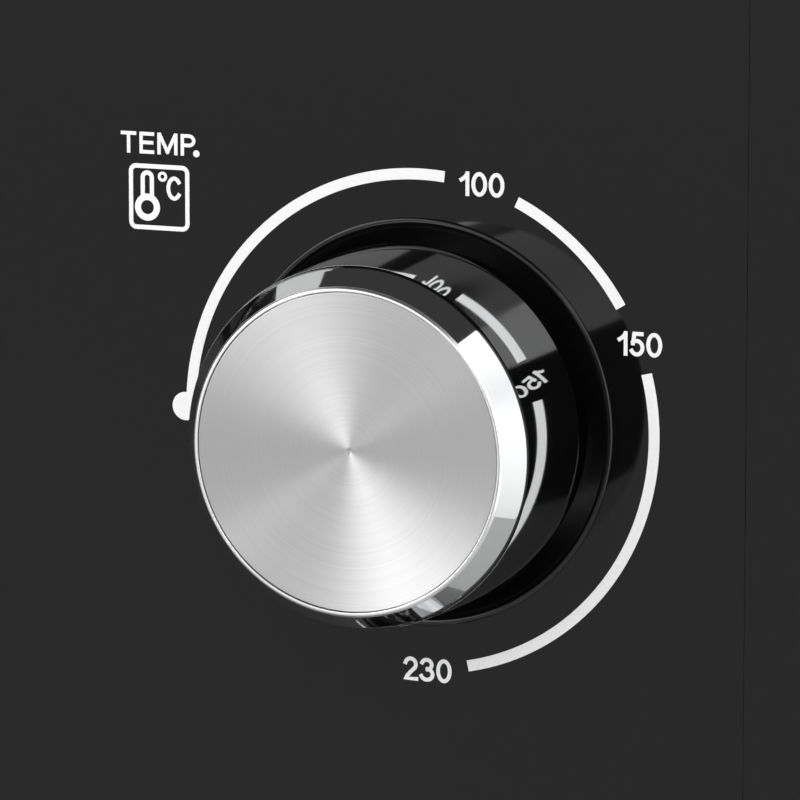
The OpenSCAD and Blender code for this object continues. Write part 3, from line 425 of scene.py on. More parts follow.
# Width of each sign for its height, and its strokes in a unit square
SIGNS = {
    "0": (0.68, [ROUND]),
    "1": (0.46, [[(0.92, 0), (0.92, 1)], [(0.04, 0.69), (0.5, 0.80), (0.84, 0.95)]]),
    "2": (0.66, [bow(0.49, 0.72, 0.47, 0.28, 165, -38) + [(0.5, 0.34), (0.16, 0.11), (0.05, 0), (1, 0)]]),
    "3": (0.66, [bow(0.46, 0.76, 0.44, 0.24, 158, -80), bow(0.46, 0.27, 0.52, 0.27, 80, -158)]),
    "4": (0.68, [[(0.76, 0), (0.76, 1)], [(0.7, 0.93), (0.02, 0.3), (1, 0.3)]]),
    "5": (0.64, [[(0.9, 1), (0.24, 1), (0.12, 0.53)], bow(0.46, 0.33, 0.52, 0.33, 128, -150)]),
    "6": (0.66, [bow(0.5, 0.32, 0.5, 0.32, 0, 360, 32), bow(0.55, 0.55, 0.55, 0.45, 45, 180) + [(0, 0.35)]]),
    "C": (0.70, [bow(0.5, 0.5, 0.5, 0.5, 40, 320, 28)]),
    "D": (0.82, [[(0, 0), (0, 1), (0.4, 1), *bow(0.4, 0.5, 0.6, 0.5, 80, -80), (0.4, 0), (0, 0)]]),
    "E": (0.74, [[(1, 1), (0, 1), (0, 0), (1, 0)], [(0, 0.52), (0.92, 0.52)]]),
    "I": (0.19, [[(0.5, 0), (0.5, 1)]]),
    "M": (1.01, [STEM, [(0.06, 0.96), (0.5, 0.06)], [(0.94, 0.96), (0.5, 0.06)], [(1, 0), (1, 1)]]),
    "O": (0.92, [ROUND]),
    "P": (0.74, [STEM, BOWL]),
    "R": (0.84, [STEM, BOWL, [(0.5, 0.44), (0.96, 0.04)]]),
    "T": (0.78, [[(0, 1), (1, 1)], [(0.5, 1), (0.5, 0)]]),
}


class PrintSheet:
    """Flat strokes of ink on the front of the panel, about one dial's centre, in metres."""

    LAYERS, RISE = 8, 0.05  # each stroke lies this share of the ink's thickness above the one before
    DEPTH = 1.5  # thicknesses from a stroke's front to its back in the panel
    NUMBER_GAP, LABEL_GAP = 0.07, 0.16  # between signs, as shares of their height
    LABEL = (-0.0400, 0.03255)  # left edge and middle height
    BADGE = (-0.03483, 0.02584)  # middle of the pictogram's square

    def __init__(self, knob):
        self.bm = bmesh.new()
        self.knob = knob
        self.centre = dial_centre(knob)
        self.layer = 0

    def corners(self, x, z):
        """The front and back points of one corner."""
        thick = ink().thickness
        front = FACE_Y - thick * (1 + self.RISE * self.layer)
        x, z = self.centre.x + x, self.centre.z + z
        return [self.bm.verts.new((x, y, z)) for y in (front, front + self.DEPTH * thick)]

    def next_layer(self):
        self.layer = (self.layer + 1) % self.LAYERS

    def stroke(self, points, width, cap=0.0):
        """A line of even width along points; it is a ring where its ends meet, or else has caps."""
        self.next_layer()
        points = [Vector(p) for p in points]
        ring = (points[0] - points[-1]).length < TINY
        if ring:
            points.pop()
        else:
            ends = [(points[0] - points[1]).normalized(), (points[-1] - points[-2]).normalized()]
            points[0] = points[0] + ends[0] * cap
            points[-1] = points[-1] + ends[1] * cap
        last = len(points) - 1
        rows = []
        for i, here in enumerate(points):
            after = (points[(i + 1) % len(points)] - here).normalized() if ring or i < last else None
            before = (here - points[i - 1]).normalized() if ring or i else after
            after = after or before
            lean = (before + after).normalized()
            side = Vector((-lean.y, lean.x))
            reach = side * (width / 2 / max(0.7, before.dot(lean)))  # no long spikes at sharp turns
            rows.append(self.corners(*(here + reach)) + self.corners(*(here - reach)))
        for i in range(len(points) if ring else last):
            a, b, c, d = rows[i]
            e, f, g, h = rows[(i + 1) % len(points)]
            for face in ((a, c, g, e), (b, f, h, d), (a, e, f, b), (c, d, h, g)):
                self.bm.faces.new(face)
        if not ring:
            for a, b, c, d in (rows[0], rows[-1]):
                self.bm.faces.new((a, b, d, c))

    def spot(self, x, z, r, steps=48):
        self.next_layer()
        fronts, backs = zip(*[self.corners(*p) for p in circle(x, z, r, steps)])
        self.bm.faces.new(fronts)
        self.bm.faces.new(backs)
        strip(self.bm, fronts, backs, ring=True)

    def arc(self, start, end, width):
        r = ink().arc_radius
        self.stroke(bow(0, 0, r, r, start, end, 96), width)

    def ring(self, x, z, r, width, steps):
        self.stroke(bow(x, z, r, r, 0, 360, steps), width)

    def frame(self, x, z, half, corner, width):
        outline = rounded_box(x - half, z - half, x + half, z + half, corner)
        self.stroke(outline + outline[:1], width)

    def words(self, text, left, z, height, weight, gap):
        """Signs in a row from a left edge, at a middle height; the gap is a share of the height."""
        low, half = z - height / 2, weight / 2
        for sign in text:
            share, strokes = SIGNS[sign]
            wide = share * height
            for points in strokes:
                run = [
                    (left + half + u * (wide - weight), low + half + v * (height - weight)) for u, v in points
                ]
                self.stroke(run, weight, half)
            left += wide + gap * height

    def number(self, text, x, z):
        """A number with its middle at x and z."""
        size = ink()
        shares = sum(SIGNS[sign][0] for sign in text) + self.NUMBER_GAP * (len(text) - 1)
        left = x - shares * size.numeral_height / 2
        self.words(text, left, z, size.numeral_height, size.numeral_stroke, self.NUMBER_GAP)

    def label(self, text):
        size = ink()
        self.words(text, *self.LABEL, size.label_height, size.label_stroke, self.LABEL_GAP)

    def pictogram(self):
        """The rounded square beside a dial; returns its middle."""
        self.frame(*self.BADGE, 0.00382, 0.0007, 0.00056)
        return self.BADGE

    def done(self, *extra):
        absorb(self.bm, *extra)
        place(closed(self.bm), self.knob + "_print", "dial_ink", "control_panel", hides=False)


# Shader work


class Desk:
    """Lays out the nodes of one tree."""

    prefix = "ShaderNode"

    def __init__(self, tree):
        self.tree = tree

    def add(self, kind, inputs=(), **settings):
        node = self.tree.nodes.new(kind if kind.startswith("ShaderNode") else self.prefix + kind)
        for key, value in settings.items():
            setattr(node, key, value)
        for key, value in dict(inputs).items():
            self.feed(value, node.inputs[key])
        return node

    def feed(self, value, socket):
        if isinstance(value, NodeSocket):
            self.tree.links.new(value, socket)
        else:
            socket.default_value = value

    def use(self, group, **inputs):
        """Places a shared effect and returns what it puts out."""
        return self.add("Group", inputs, node_tree=group()).outputs[0]

    def where(self):
        return self.add("TexCoord").outputs["Object"]

    def part(self, vector, axis):
        return self.add("SeparateXYZ", {"Vector": vector}).outputs[axis]

    def noise(self, vector, scale, detail, distortion=0.0):
        keys = {"Vector": vector, "Scale": scale, "Detail": detail, "Distortion": distortion}
        return self.add("TexNoise", keys).outputs[0]

    def reckon(self, operation, *values):
        return self.add("ShaderNodeMath", enumerate(values), operation=operation).outputs[0]

    def between(self, value, low, high, start=0.0, end=1.0):
        keys = {"Value": value, "From Min": start, "From Max": end, "To Min": low, "To Max": high}
        return self.add("MapRange", keys).outputs["Result"]

    def ramp(self, value, dark, light, start=0.3, end=0.7):
        node = self.add("ValToRGB", {"Fac": value})
        for stop, position, shade in zip(node.color_ramp.elements, (start, end), (dark, light)):
            stop.position = position
            stop.color = (*shade, 1)
        return node.outputs["Color"]

    def tones(self, value, tint, spread, *ends):
        """A tint that darkens and lightens by a share of itself."""
        dark, light = (tuple(min(1.0, c * f) for c in tint) for f in (1 - spread, 1 + spread))
        return self.ramp(value, dark, light, *ends)

    def mix(self, share, first, second):
        return self.add("Mix", {0: share, 6: first, 7: second}, data_type="RGBA").outputs[2]

    def choice(self, share, first, second):
        return self.add("Mix", {0: share, 2: first, 3: second}, data_type="FLOAT").outputs[0]


def shader_group(name, output, **inputs):
    """A tree for an effect with named inputs and one output."""
    tree = bpy.data.node_groups.new(name, "ShaderNodeTree")
    for label, default in inputs.items():
        kind = "NodeSocketFloat" if isinstance(default, float) else "NodeSocketVector"
        tree.interface.new_socket(label, in_out="INPUT", socket_type=kind).default_value = default
    tree.interface.new_socket(output, in_out="OUTPUT", socket_type="NodeSocketFloat")
    return Desk(tree), tree.nodes.new("NodeGroupInput").outputs, tree.nodes.new("NodeGroupOutput").inputs[0]


@functools.cache
def fine_grain():
    """Fine grain, stretched where a finish has a direction."""
    desk, given, put = shader_group("fine_grain", "Grain", Scale=400.0, Stretch=(1, 1, 1))
    spread = desk.add("Mapping", {"Vector": desk.where(), "Scale": given["Stretch"]}).outputs[0]
    desk.feed(desk.noise(spread, given["Scale"], 3.0), put)
    return desk.tree


@functools.cache
def hand_marks():
    """Soft patches left by hands and cloths."""
    desk, given, put = shader_group("hand_marks", "Marks", Scale=20.0)
    patches = desk.noise(desk.where(), given["Scale"], 4.0, 0.6)
    desk.feed(desk.between(patches, 0.0, 1.0, 0.35, 0.65), put)
    return desk.tree


@functools.cache
def settled_dust():
    """Dust on faces that look up."""
    desk, given, put = shader_group("settled_dust", "Dust", Amount=0.1)
    specks = desk.between(desk.noise(desk.where(), 260.0, 5.0), 0.2, 1.0, 0.35, 0.75)
    flat = desk.between(desk.part(desk.add("TexCoord").outputs["Normal"], "Z"), 0.0, 1.0, 0.55, 0.95)
    desk.feed(desk.reckon("MULTIPLY", desk.reckon("MULTIPLY", specks, flat), given["Amount"]), put)
    return desk.tree


class Coating(Desk):
    """A new material; its constants go on the shader's own sockets."""

    def __init__(self, name, **sockets):
        self.material = bpy.data.materials.new(name)
        self.material.use_nodes = True
        super().__init__(self.material.node_tree)
        self.shader = self.tree.nodes["Principled BSDF"]
        for key, value in sockets.items():
            self.shader.inputs[key.replace("_", " ")].default_value = value

    def look(self, tone, gloss=None, height=None, strength=1.0, relief=0.0):
        """Feeds the shader its colour, roughness and relief in metres, and returns the material."""
        self.feed(tone, self.shader.inputs["Base Color"])
        if gloss is not None:
            self.feed(gloss, self.shader.inputs["Roughness"])
        if relief:
            bump = self.add("Bump", {"Height": height, "Strength": strength, "Distance": relief})
            self.feed(bump.outputs[0], self.shader.inputs["Normal"])
        return self.material


DUST = (0.42, 0.40, 0.37, 1)
METAL = {"Metallic": 1.0}
# Tint, or the value that holds it; spread of its tone; least and most roughness; scale of the grain;
# relief in metres; then what else it has
PLAIN = {
    "gloss_black_panel": ("panel", 0.12, 0.045, 0.075, 900, 0, {"marks": 9, "Specular_IOR_Level": 0.35}),
    "glass_border": ("panel", 0.1, 0.3, 0.36, 700, 0, {}),
    "powder_coat": ("coat", 0.25, 0.43, 0.47, 1400, 3e-5, {"dust": 0.03}),
    "knob_chrome": ("chrome", 0.015, 0.03, 0.05, 500, 0, {"marks": 60, **METAL}),
    "cut_rim": ((0.93, 0.93, 0.93), 0.02, 0.26, 0.32, 900, 0, {"marks": 60, **METAL}),
    "wire_chrome": ("chrome", 0.06, 0.1, 0.2, 700, 4e-6, METAL),
    "dial_ink": ("ink", 0.03, 0.4, 0.5, 2500, 4e-6, {}),
    "bezel_black": ((0.0028, 0.0028, 0.0029), 0.2, 0.16, 0.24, 1800, 3e-6, {}),
    "moulded_black": ((0.012, 0.012, 0.0125), 0.2, 0.38, 0.5, 1500, 2e-5, {}),
    "brushed_stainless": (
        "stainless", 0.05, 0.23, 0.28, 900, 3e-6, {"stretch": (0.02, 1, 1), "Anisotropic": 0.4, **METAL},
    ),
    "zinc_steel": ((0.50, 0.51, 0.53), 0.12, 0.28, 0.4, 800, 4e-6, METAL),
    "aluminised_liner": ("liner", 0.1, 0.3, 0.46, 160, 6e-6, METAL),
    "foot_rubber": ((0.018, 0.018, 0.018), 0.25, 0.62, 0.78, 1200, 3e-5, {}),
    "gasket_silicone": ((0.045, 0.045, 0.047), 0.15, 0.5, 0.6, 900, 1e-5, {}),
    "heater_sheath": ((0.17, 0.16, 0.15), 0.35, 0.38, 0.55, 120, 8e-6, {"Metallic": 0.8}),
    "heater_ceramic": ((0.74, 0.70, 0.62), 0.06, 0.35, 0.5, 500, 6e-6, {}),
    "switch_phenolic": ((0.34, 0.30, 0.23), 0.12, 0.35, 0.5, 600, 1e-5, {}),
    "capillary_copper": ((0.62, 0.34, 0.21), 0.15, 0.25, 0.4, 300, 4e-6, METAL),
    "dark_sheet": ((0.05, 0.05, 0.052), 0.15, 0.42, 0.48, 900, 1e-5, {"dust": 0.04}),
    "flag_cloth": ((0.004, 0.004, 0.004), 0.2, 0.8, 0.9, 900, 0, {}),
    "floor_paper": ("floor", 0.01, 0.6, 0.7, 40, 0, {"marks": 2, "Specular_IOR_Level": 0.0}),
}


def plain(name, tint, spread, least, most, grain, relief, marks=18, dust=0, stretch=(1, 1, 1), **sockets):
    """A finish with grain in its colour and surface, hand marks in its gloss and dust on its top."""
    desk = Coating(name, **sockets)
    fine = desk.use(fine_grain, Scale=grain, Stretch=stretch)
    tone = desk.tones(fine, getattr(paint(), tint) if isinstance(tint, str) else tint, spread)
    if dust:
        tone = desk.mix(desk.use(settled_dust, Amount=dust), tone, DUST)
    gloss = desk.between(desk.use(hand_marks, Scale=marks), least, most)
    return desk.look(tone, gloss, fine, relief=relief)


def galvanised(name):
    """Zinc-coated sheet with its spangle."""
    desk = Coating(name, **METAL)
    flakes = desk.add("TexVoronoi", {"Vector": desk.where(), "Scale": 90.0}).outputs["Color"]
    tone = desk.part(flakes, "X")
    shades = desk.ramp(tone, (0.40, 0.41, 0.43), (0.56, 0.57, 0.58), 0.0, 1.0)
    return desk.look(shades, desk.between(tone, 0.3, 0.48))


def enamel(name):
    """Speckled dark vitreous enamel."""
    desk = Coating(name, Coat_Weight=0.4, Coat_Roughness=0.08)
    speck = desk.add("TexVoronoi", {"Vector": desk.where(), "Scale": 420.0}).outputs["Distance"]
    shades = desk.ramp(speck, (0.24, 0.24, 0.25), (0.022, 0.022, 0.024), 0.1, 0.16)
    return desk.look(shades, desk.between(desk.use(hand_marks, Scale=14.0), 0.16, 0.3))


def banded(name, axis, pitch, dark, light, least, most):
    """Stacked sheets or wound wire, as fine bands across one axis."""
    period = 0.314  # metres from band to band at a scale of 1
    desk = Coating(name, Metallic=0.9)
    keys = {"Vector": desk.where(), "Scale": period / pitch, "Distortion": 0.4, "Detail": 1.0}
    wave = desk.add("TexWave", keys, bands_direction=axis).outputs["Fac"]
    shades = desk.ramp(wave, dark, light, 0.2, 0.8)
    return desk.look(shades, desk.between(wave, most, least), wave, 0.6, 0.00015)


def laminations(name):
    return banded(name, "X", 0.0006, (0.12, 0.12, 0.13), (0.3, 0.31, 0.32), 0.3, 0.45)


def windings(name):
    return banded(name, "Z", 0.0005, (0.25, 0.1, 0.045), (0.6, 0.3, 0.16), 0.25, 0.4)


def spun_disc(name):
    """Spun aluminium: rings in the metal, and light drawn out across them."""
    desk = Coating(name, Anisotropic=0.84, Anisotropic_Rotation=0.25, **METAL)
    coords = desk.add("UVMap", uv_map="turned").outputs["UV"]
    rings = desk.add("Mapping", {"Vector": coords, "Scale": (2.0, 9000.0, 1.0)}).outputs[0]
    lines = desk.noise(rings, 1.0, 2.0)
    tangent = desk.add("Tangent", direction_type="UV_MAP", uv_map="turned").outputs[0]
    desk.feed(tangent, desk.shader.inputs["Tangent"])
    gloss = desk.between(desk.use(hand_marks, Scale=70.0), 0.38, 0.41)
    return desk.look(desk.tones(lines, paint().disc, 0.05), gloss, lines, 0.5, 0.000002)


def door_glass(name):
    """Tinted glass with a faint wiped film."""
    desk = Coating(name, Transmission_Weight=1.0, IOR=1.5)
    worn = desk.use(hand_marks, Scale=7.0)
    return desk.look(desk.tones(worn, paint().glass, 0.03, 0.0, 1.0), desk.between(worn, 0.0, 0.02))


def red_lens(name):
    """Red lens with a moulded ripple."""
    desk = Coating(name, Transmission_Weight=0.6, IOR=1.49, Roughness=0.12)
    fine = desk.use(fine_grain, Scale=900.0, Stretch=(1, 1, 1))
    shades = desk.ramp(fine, (0.42, 0.012, 0.008), (0.55, 0.02, 0.012))
    return desk.look(shades, None, fine, 0.5, 0.00004)


SPECIAL = {
    "galvanised_sheet": galvanised,
    "speckled_enamel": enamel,
    "core_laminations": laminations,
    "coil_windings": windings,
    "spun_aluminium_disc": spun_disc,
    "door_glass_tint": door_glass,
    "red_lens": red_lens,
}


@functools.cache
def finish(name):
    """The material of a name, made when it is first asked for."""
    if name in SPECIAL:
        return SPECIAL[name](name)
    *values, rest = PLAIN[name]
    return plain(name, *values, **rest)


# Geometry Nodes


class Weave(Desk):
    """A Geometry Nodes tree with named inputs, which ends in copies on points."""

    prefix = "GeometryNode"

    def __init__(self, name, **inputs):
        super().__init__(bpy.data.node_groups.new(name, "GeometryNodeTree"))
        socket = self.tree.interface.new_socket
        self.ids = {}
        for label, kind in {"Geometry": "Geometry", **inputs, "Material": "Material"}.items():
            self.ids[label] = socket(label, in_out="INPUT", socket_type="NodeSocket" + kind).identifier
        socket("Geometry", in_out="OUTPUT", socket_type="NodeSocketGeometry")
        self.given = self.tree.nodes.new("NodeGroupInput").outputs
        self.put = self.tree.nodes.new("NodeGroupOutput").inputs["Geometry"]

    def made(self, kind, inputs=(), output=0, **settings):
        return self.add(kind, inputs, **settings).outputs[output]

    def copied(self, **keys):
        """Ends the tree in copies that are made real and given their material."""
        real = self.made("RealizeInstances", {0: self.made("InstanceOnPoints", keys)})
        keys = {"Geometry": real, "Material": self.given["Material"]}
        self.feed(self.made("SetMaterial", keys), self.put)
        return self

    def grown(self, points, **values):
        """The plain mesh of the tree on some points."""
        base = bpy.data.meshes.new("points")
        base.from_pydata(points, [], [])
        holder = bpy.data.objects.new("grown", base)
        modifier = holder.modifiers.new("grown", "NODES")
        modifier.node_group = self.tree
        for label, value in values.items():
            modifier[self.ids[label]] = value
        return evaluated(holder)


def copies():
    """Copies of one object on the points of a mesh, such as screw heads."""
    weave = Weave("copies_on_points", Copy="Object")
    one = weave.made("ObjectInfo", {"Object": weave.given["Copy"]}, "Geometry")
    spots = weave.made("MeshToPoints", {"Mesh": weave.given["Geometry"]})
    return weave.copied(Points=spots, Instance=one)


def wires():
    """Parallel round wires, each a step from the last."""
    weave = Weave("parallel_wires", Count="Int", First="Vector", Step="Vector", Run="Vector", Radius="Float")
    given = weave.given
    keys = {"Count": given["Count"], "Start Location": given["First"], "Offset": given["Step"]}
    starts = weave.made("MeshLine", keys, mode="OFFSET")
    line = weave.made("CurvePrimitiveLine", {"End": given["Run"]})
    section = weave.made("CurvePrimitiveCircle", {"Resolution": 20, "Radius": given["Radius"]})
    wire = weave.made("CurveToMesh", {"Curve": line, "Profile Curve": section, "Fill Caps": True})
    return weave.copied(Points=starts, Instance=wire)


def ticks():
    """Short marks round a dial, in the X and Z plane."""
    weave = Weave(
        "dial_ticks",
        Count="Int", Start="Float", Step="Float", Radius="Float", Size="Vector", Centre="Vector",
    )
    given = weave.given
    swept = weave.reckon("MULTIPLY", weave.made("InputIndex"), given["Step"])
    turn = weave.reckon("ADD", swept, given["Start"])
    ray = {"X": weave.reckon("COSINE", turn), "Z": weave.reckon("SINE", turn)}
    reach = {0: weave.made("ShaderNodeCombineXYZ", ray), "Scale": given["Radius"]}
    spot = {0: weave.made("ShaderNodeVectorMath", reach, operation="SCALE"), 1: given["Centre"]}
    keys = {"Count": given["Count"], "Position": weave.made("ShaderNodeVectorMath", spot, operation="ADD")}
    points = weave.made("Points", keys)
    facing = weave.made("ShaderNodeCombineXYZ", {"Y": weave.reckon("MULTIPLY", turn, -1.0)})
    mark = weave.made("MeshCube", {"Size": given["Size"]})
    return weave.copied(Points=points, Instance=mark, Rotation=facing)


# Pieces; sections are in mm, as (radius, height, fillet)


class PieceOperator:
    """What the operators share."""

    bl_options = {"REGISTER", "UNDO"}


class OVEN_OT_control_panel(PieceOperator, Operator):
    """Make the gloss control panel, its end trim and the indicator lens"""

    bl_idname = "oven.control_panel"
    bl_label = "Control panel"

    def execute(self, context):
        bezel_lap, lens_lap, seam_share = 0.0011, 0.0009, 0.47
        low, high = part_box("control_panel")
        trim_low, trim_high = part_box("panel_end_trim")
        close = (trim_low.x - high.x) * seam_share
        high.x += close
        trim_low.x -= close
        lens = middle_of("indicator_lens")
        bezel_r = half_width("dial_bezels") - bezel_lap
        holes = [circle(c.x, c.z, bezel_r, 128) for c in map(dial_centre, KNOBS)]
        holes.append(circle(lens.x, lens.z, half_width("indicator_lens") - lens_lap, 48))
        place(cover(low, high, holes), "gloss_panel", "gloss_black_panel", "control_panel")
        place(cover(trim_low, trim_high), "gloss_end_trim", "gloss_black_panel", "panel_end_trim")
        dome = softened([
            (0, -12, 0), (4, -12, 0.3), (4, 0, 0), (5, 0, 0.1),
            (5, 0.8, 0.3), (4, 1.8, 1), (2, 2.4, 1), (0, 2.6, 0),
        ])
        dome = turned(dome, [(lens.x, FACE_Y, lens.z)], 64)
        place(dome, "indicator_dome", "red_lens", "indicator_lens")
        return {"FINISHED"}


class OVEN_OT_bezels(PieceOperator, Operator):
    """Make the three dark dished bezels behind the knobs"""

    bl_idname = "oven.bezels"
    bl_label = "Dial bezels"

    def execute(self, context):
        r = half_width("dial_bezels") / MM
        bore, spigot, back, floor, lip = 4.5, r - 1.2, -3.5, -2.3, 0.35
        section = softened([
            (bore, back, 0), (spigot, back, 0), (spigot, 0, 0), (r, 0, 0), (r, lip / 2, 0.12),
            (r - lip / 2, lip, 0.1), (r - 2 * lip, lip, 0.25), (r - 4.4, floor, 0.5), (bore, floor, 0),
        ])
        bezels = turned(section, map(dial_centre, KNOBS), knobs().sides)
        place(bezels, "dished_bezels", "bezel_black", "dial_bezels")
        return {"FINISHED"}


class OVEN_OT_knobs(PieceOperator, Operator):
    """Make the chrome knobs with their spun discs"""

    bl_idname = "oven.knobs"
    bl_label = "Knobs"

    def execute(self, context):
        size = knobs()
        r, f, h = size.radius / MM, size.face_radius / MM, size.height / MM
        lift, rim, deep = size.lift / MM, size.rim / MM, size.dish / MM
        brow, shoulder = r - size.taper / MM, h - size.bevel / MM
        lip, top, seat, under, bore = h - 0.34, h - 0.18, h - 1.4, h - 2.6, f - 0.4
        shell = softened([
            (bore, lift, 0), (r - 0.3, lift, 0.1), (r, lift + 0.3, 0.2), (brow, shoulder, 0.7), (f, lip, 0),
            (f - rim, lip, 0), (f - rim, seat, 0), (0, seat, 0), (0, under, 0), (bore, under, 0),
        ])
        foot = lip - 0.1
        edge = softened([
            (f - rim, foot, 0), (f - 0.04, foot, 0), (f, lip, 0.1), (f - 0.26, h, 0.3), (f - rim, h, 0.12),
        ], 8)
        disc_r, bottom, steps = f - rim - 0.07, top - deep, 12
        hollow = [
            (disc_r * k / steps, bottom + deep * (k / steps) ** 2, 0) for k in range(steps - 1, 0, -1)
        ]
        disc = softened([
            (0, seat, 0), (disc_r, seat, 0), (disc_r, top, 0.12), *hollow,
            (0.42, bottom, 0.1), (0.16, bottom - 0.2, 0.08), (0, bottom - 0.22, 0),
        ])
        line = self.pointer_line(shell, (brow, shoulder), (r, lift), (f, lip))
        for knob in KNOBS:
            centre = dial_centre(knob)
            shell_node, face_node = knob + "_knob_shell", knob + "_knob_face"
            place(turned(shell, [centre], size.sides), knob + "_chrome", "knob_chrome", shell_node)
            place(turned(edge, [centre], size.sides), knob + "_rim", "cut_rim", shell_node)
            pointer = self.pointer(centre, line)
            place(pointer, knob + "_pointer", "moulded_black", shell_node)
            place(turned(disc, [centre], size.sides), knob + "_disc", "spun_aluminium_disc", face_node)
            dress("moulded_black", knob + "_knob_core")
            dress("zinc_steel", knob + "_shaft")
        return {"FINISHED"}

    def pointer_line(self, shell, brow, back, front):
        """The pointer's run over the shell's side, shoulder and bevel, in mm."""
        below, above, near = 9.0, 0.4, 1.0  # reach below the shoulder, stop before the lip, rounding
        down = below / (brow[1] - back[1])
        side = (brow[0] + (back[0] - brow[0]) * down, brow[1] - below)
        end = (front[0] + above, front[1] - above * (front[1] - brow[1]) / (brow[0] - front[0]))
        bend = [p / MM for p in shell if p.x / MM > front[0] and abs(p.y / MM - brow[1]) < near]
        return [side, *bend, end]

    def pointer(self, centre, line):
        """The filled line on a knob's side and bevel, at nine o'clock."""
        half, proud, root, steps = 0.8, 0.03, 0.3, 4
        zs = [half * (2 * k / steps - 1) for k in range(steps + 1)]
        bm = bmesh.new()

        def row(r, h):
            return [bm.verts.new(centre + Vector((-math.sqrt(r * r - z * z), -h, z)) * MM) for z in zs]

        outer, inner = ([row(r + rise, h) for r, h in line] for rise in (proud, -root))
        pairs = [*zip(outer, outer[1:]), *zip(inner, inner[1:])]
        for n in (0, -1):
            pairs += [(outer[n], inner[n]), ([row[n] for row in outer], [row[n] for row in inner])]
        for first, second in pairs:
            strip(bm, first, second)
        return closed(bm)


class OVEN_OT_dial_print(PieceOperator, Operator):
    """Print the arcs, numbers, words and pictograms around the dials"""

    bl_idname = "oven.dial_print"
    bl_label = "Dial print"

    def execute(self, context):
        self.temperature()
        self.function()
        self.timer()
        return {"FINISHED"}

    def temperature(self):
        sheet = PrintSheet("temperature")
        for start, end in ((83.9, 180), (31.1, 65.5), (-77.9, 14.9)):
            sheet.arc(start, end, ink().arc_width)
        sheet.spot(-0.03138, -0.0001, 0.00178)
        for text, x, z in (("100", 0.00814, 0.02975), ("150", 0.02867, 0.01145), ("230", 0.00107, -0.03085)):
            sheet.number(text, x, z)
        sheet.label("TEMP")
        sheet.spot(-0.02976, 0.03153, 0.00044, 24)
        x, z = sheet.pictogram()
        bulb_x, bulb_z = x - 0.0016, z - 0.0013
        half, foot, top = 0.00062, bulb_z + 0.0014, z + 0.0024
        sheet.ring(bulb_x, bulb_z, 0.00129, 0.00082, 40)
        tube = bow(bulb_x, top, half, half, 180, 0)
        sheet.stroke([(bulb_x - half, foot), *tube, (bulb_x + half, foot)], 0.00056)
        sheet.ring(x + 0.00046, z + 0.0026, 0.00045, 0.00036, 24)
        sheet.words("C", x + 0.0010, z + 0.0012, 0.0030, 0.0005, 0)
        sheet.done()

    def function(self):
        """Four heat settings: top, bottom, both, and both with the fan."""
        radius, half, line, bar, rise = 0.0324, 0.0022, 0.00045, 0.0013, 0.0011
        sheet = PrintSheet("function")
        sheet.spot(-0.03138, 0, 0.00178)
        # Angle, where its bars are (1 above, -1 below), and whether the fan runs
        settings = ((135, (1,), False), (90, (-1,), False), (45, (1, -1), False), (0, (1, -1), True))
        for degrees, bars, fan in settings:
            a = math.radians(degrees)
            x, z = radius * math.cos(a), radius * math.sin(a)
            sheet.frame(x, z, half, 0.0006, line)
            for side in bars:
                sheet.stroke([(x - bar, z + side * rise), (x + bar, z + side * rise)], line)
            if fan:
                sheet.spot(x, z, 0.00055, 24)
        for start in (99, 54, 9):
            sheet.arc(start, start + 27, ink().arc_width / 2)
        sheet.label("MODE")
        x, z = sheet.pictogram()
        sheet.spot(x, z, 0.0005, 24)
        for start in (0, 120, 240):
            sheet.stroke(bow(x, z, 0.0014, 0.0014, start, start + 75), 0.0007)
            sheet.stroke(bow(x, z, 0.0026, 0.0026, start + 20, start + 100), 0.0005)
        sheet.done()

    def timer(self):
        radius, thick = 0.0328, ink().thickness
        sheet = PrintSheet("timer")
        marks = ticks().grown(
            [], Count=13, Start=math.pi, Step=math.radians(-22.5), Radius=0.0285,
            Size=(0.0020, thick, 0.0006), Centre=(sheet.centre.x, FACE_Y - thick / 2, sheet.centre.z),
            Material=finish("dial_ink"),
        )
        sheet.spot(-0.0322, 0, 0.0015)
        for text, degrees in (("15", 112.5), ("30", 45), ("45", -22.5), ("60", -90)):
            a = math.radians(degrees)
            sheet.number(text, radius * math.cos(a), radius * math.sin(a))
        sheet.label("TIMER")
        x, z = sheet.pictogram()
        sheet.ring(x, z, 0.0024, 0.0005, 48)
        sheet.stroke([(x, z + 0.0015), (x, z), (x + 0.0011, z)], 0.00045)
        sheet.done(marks)


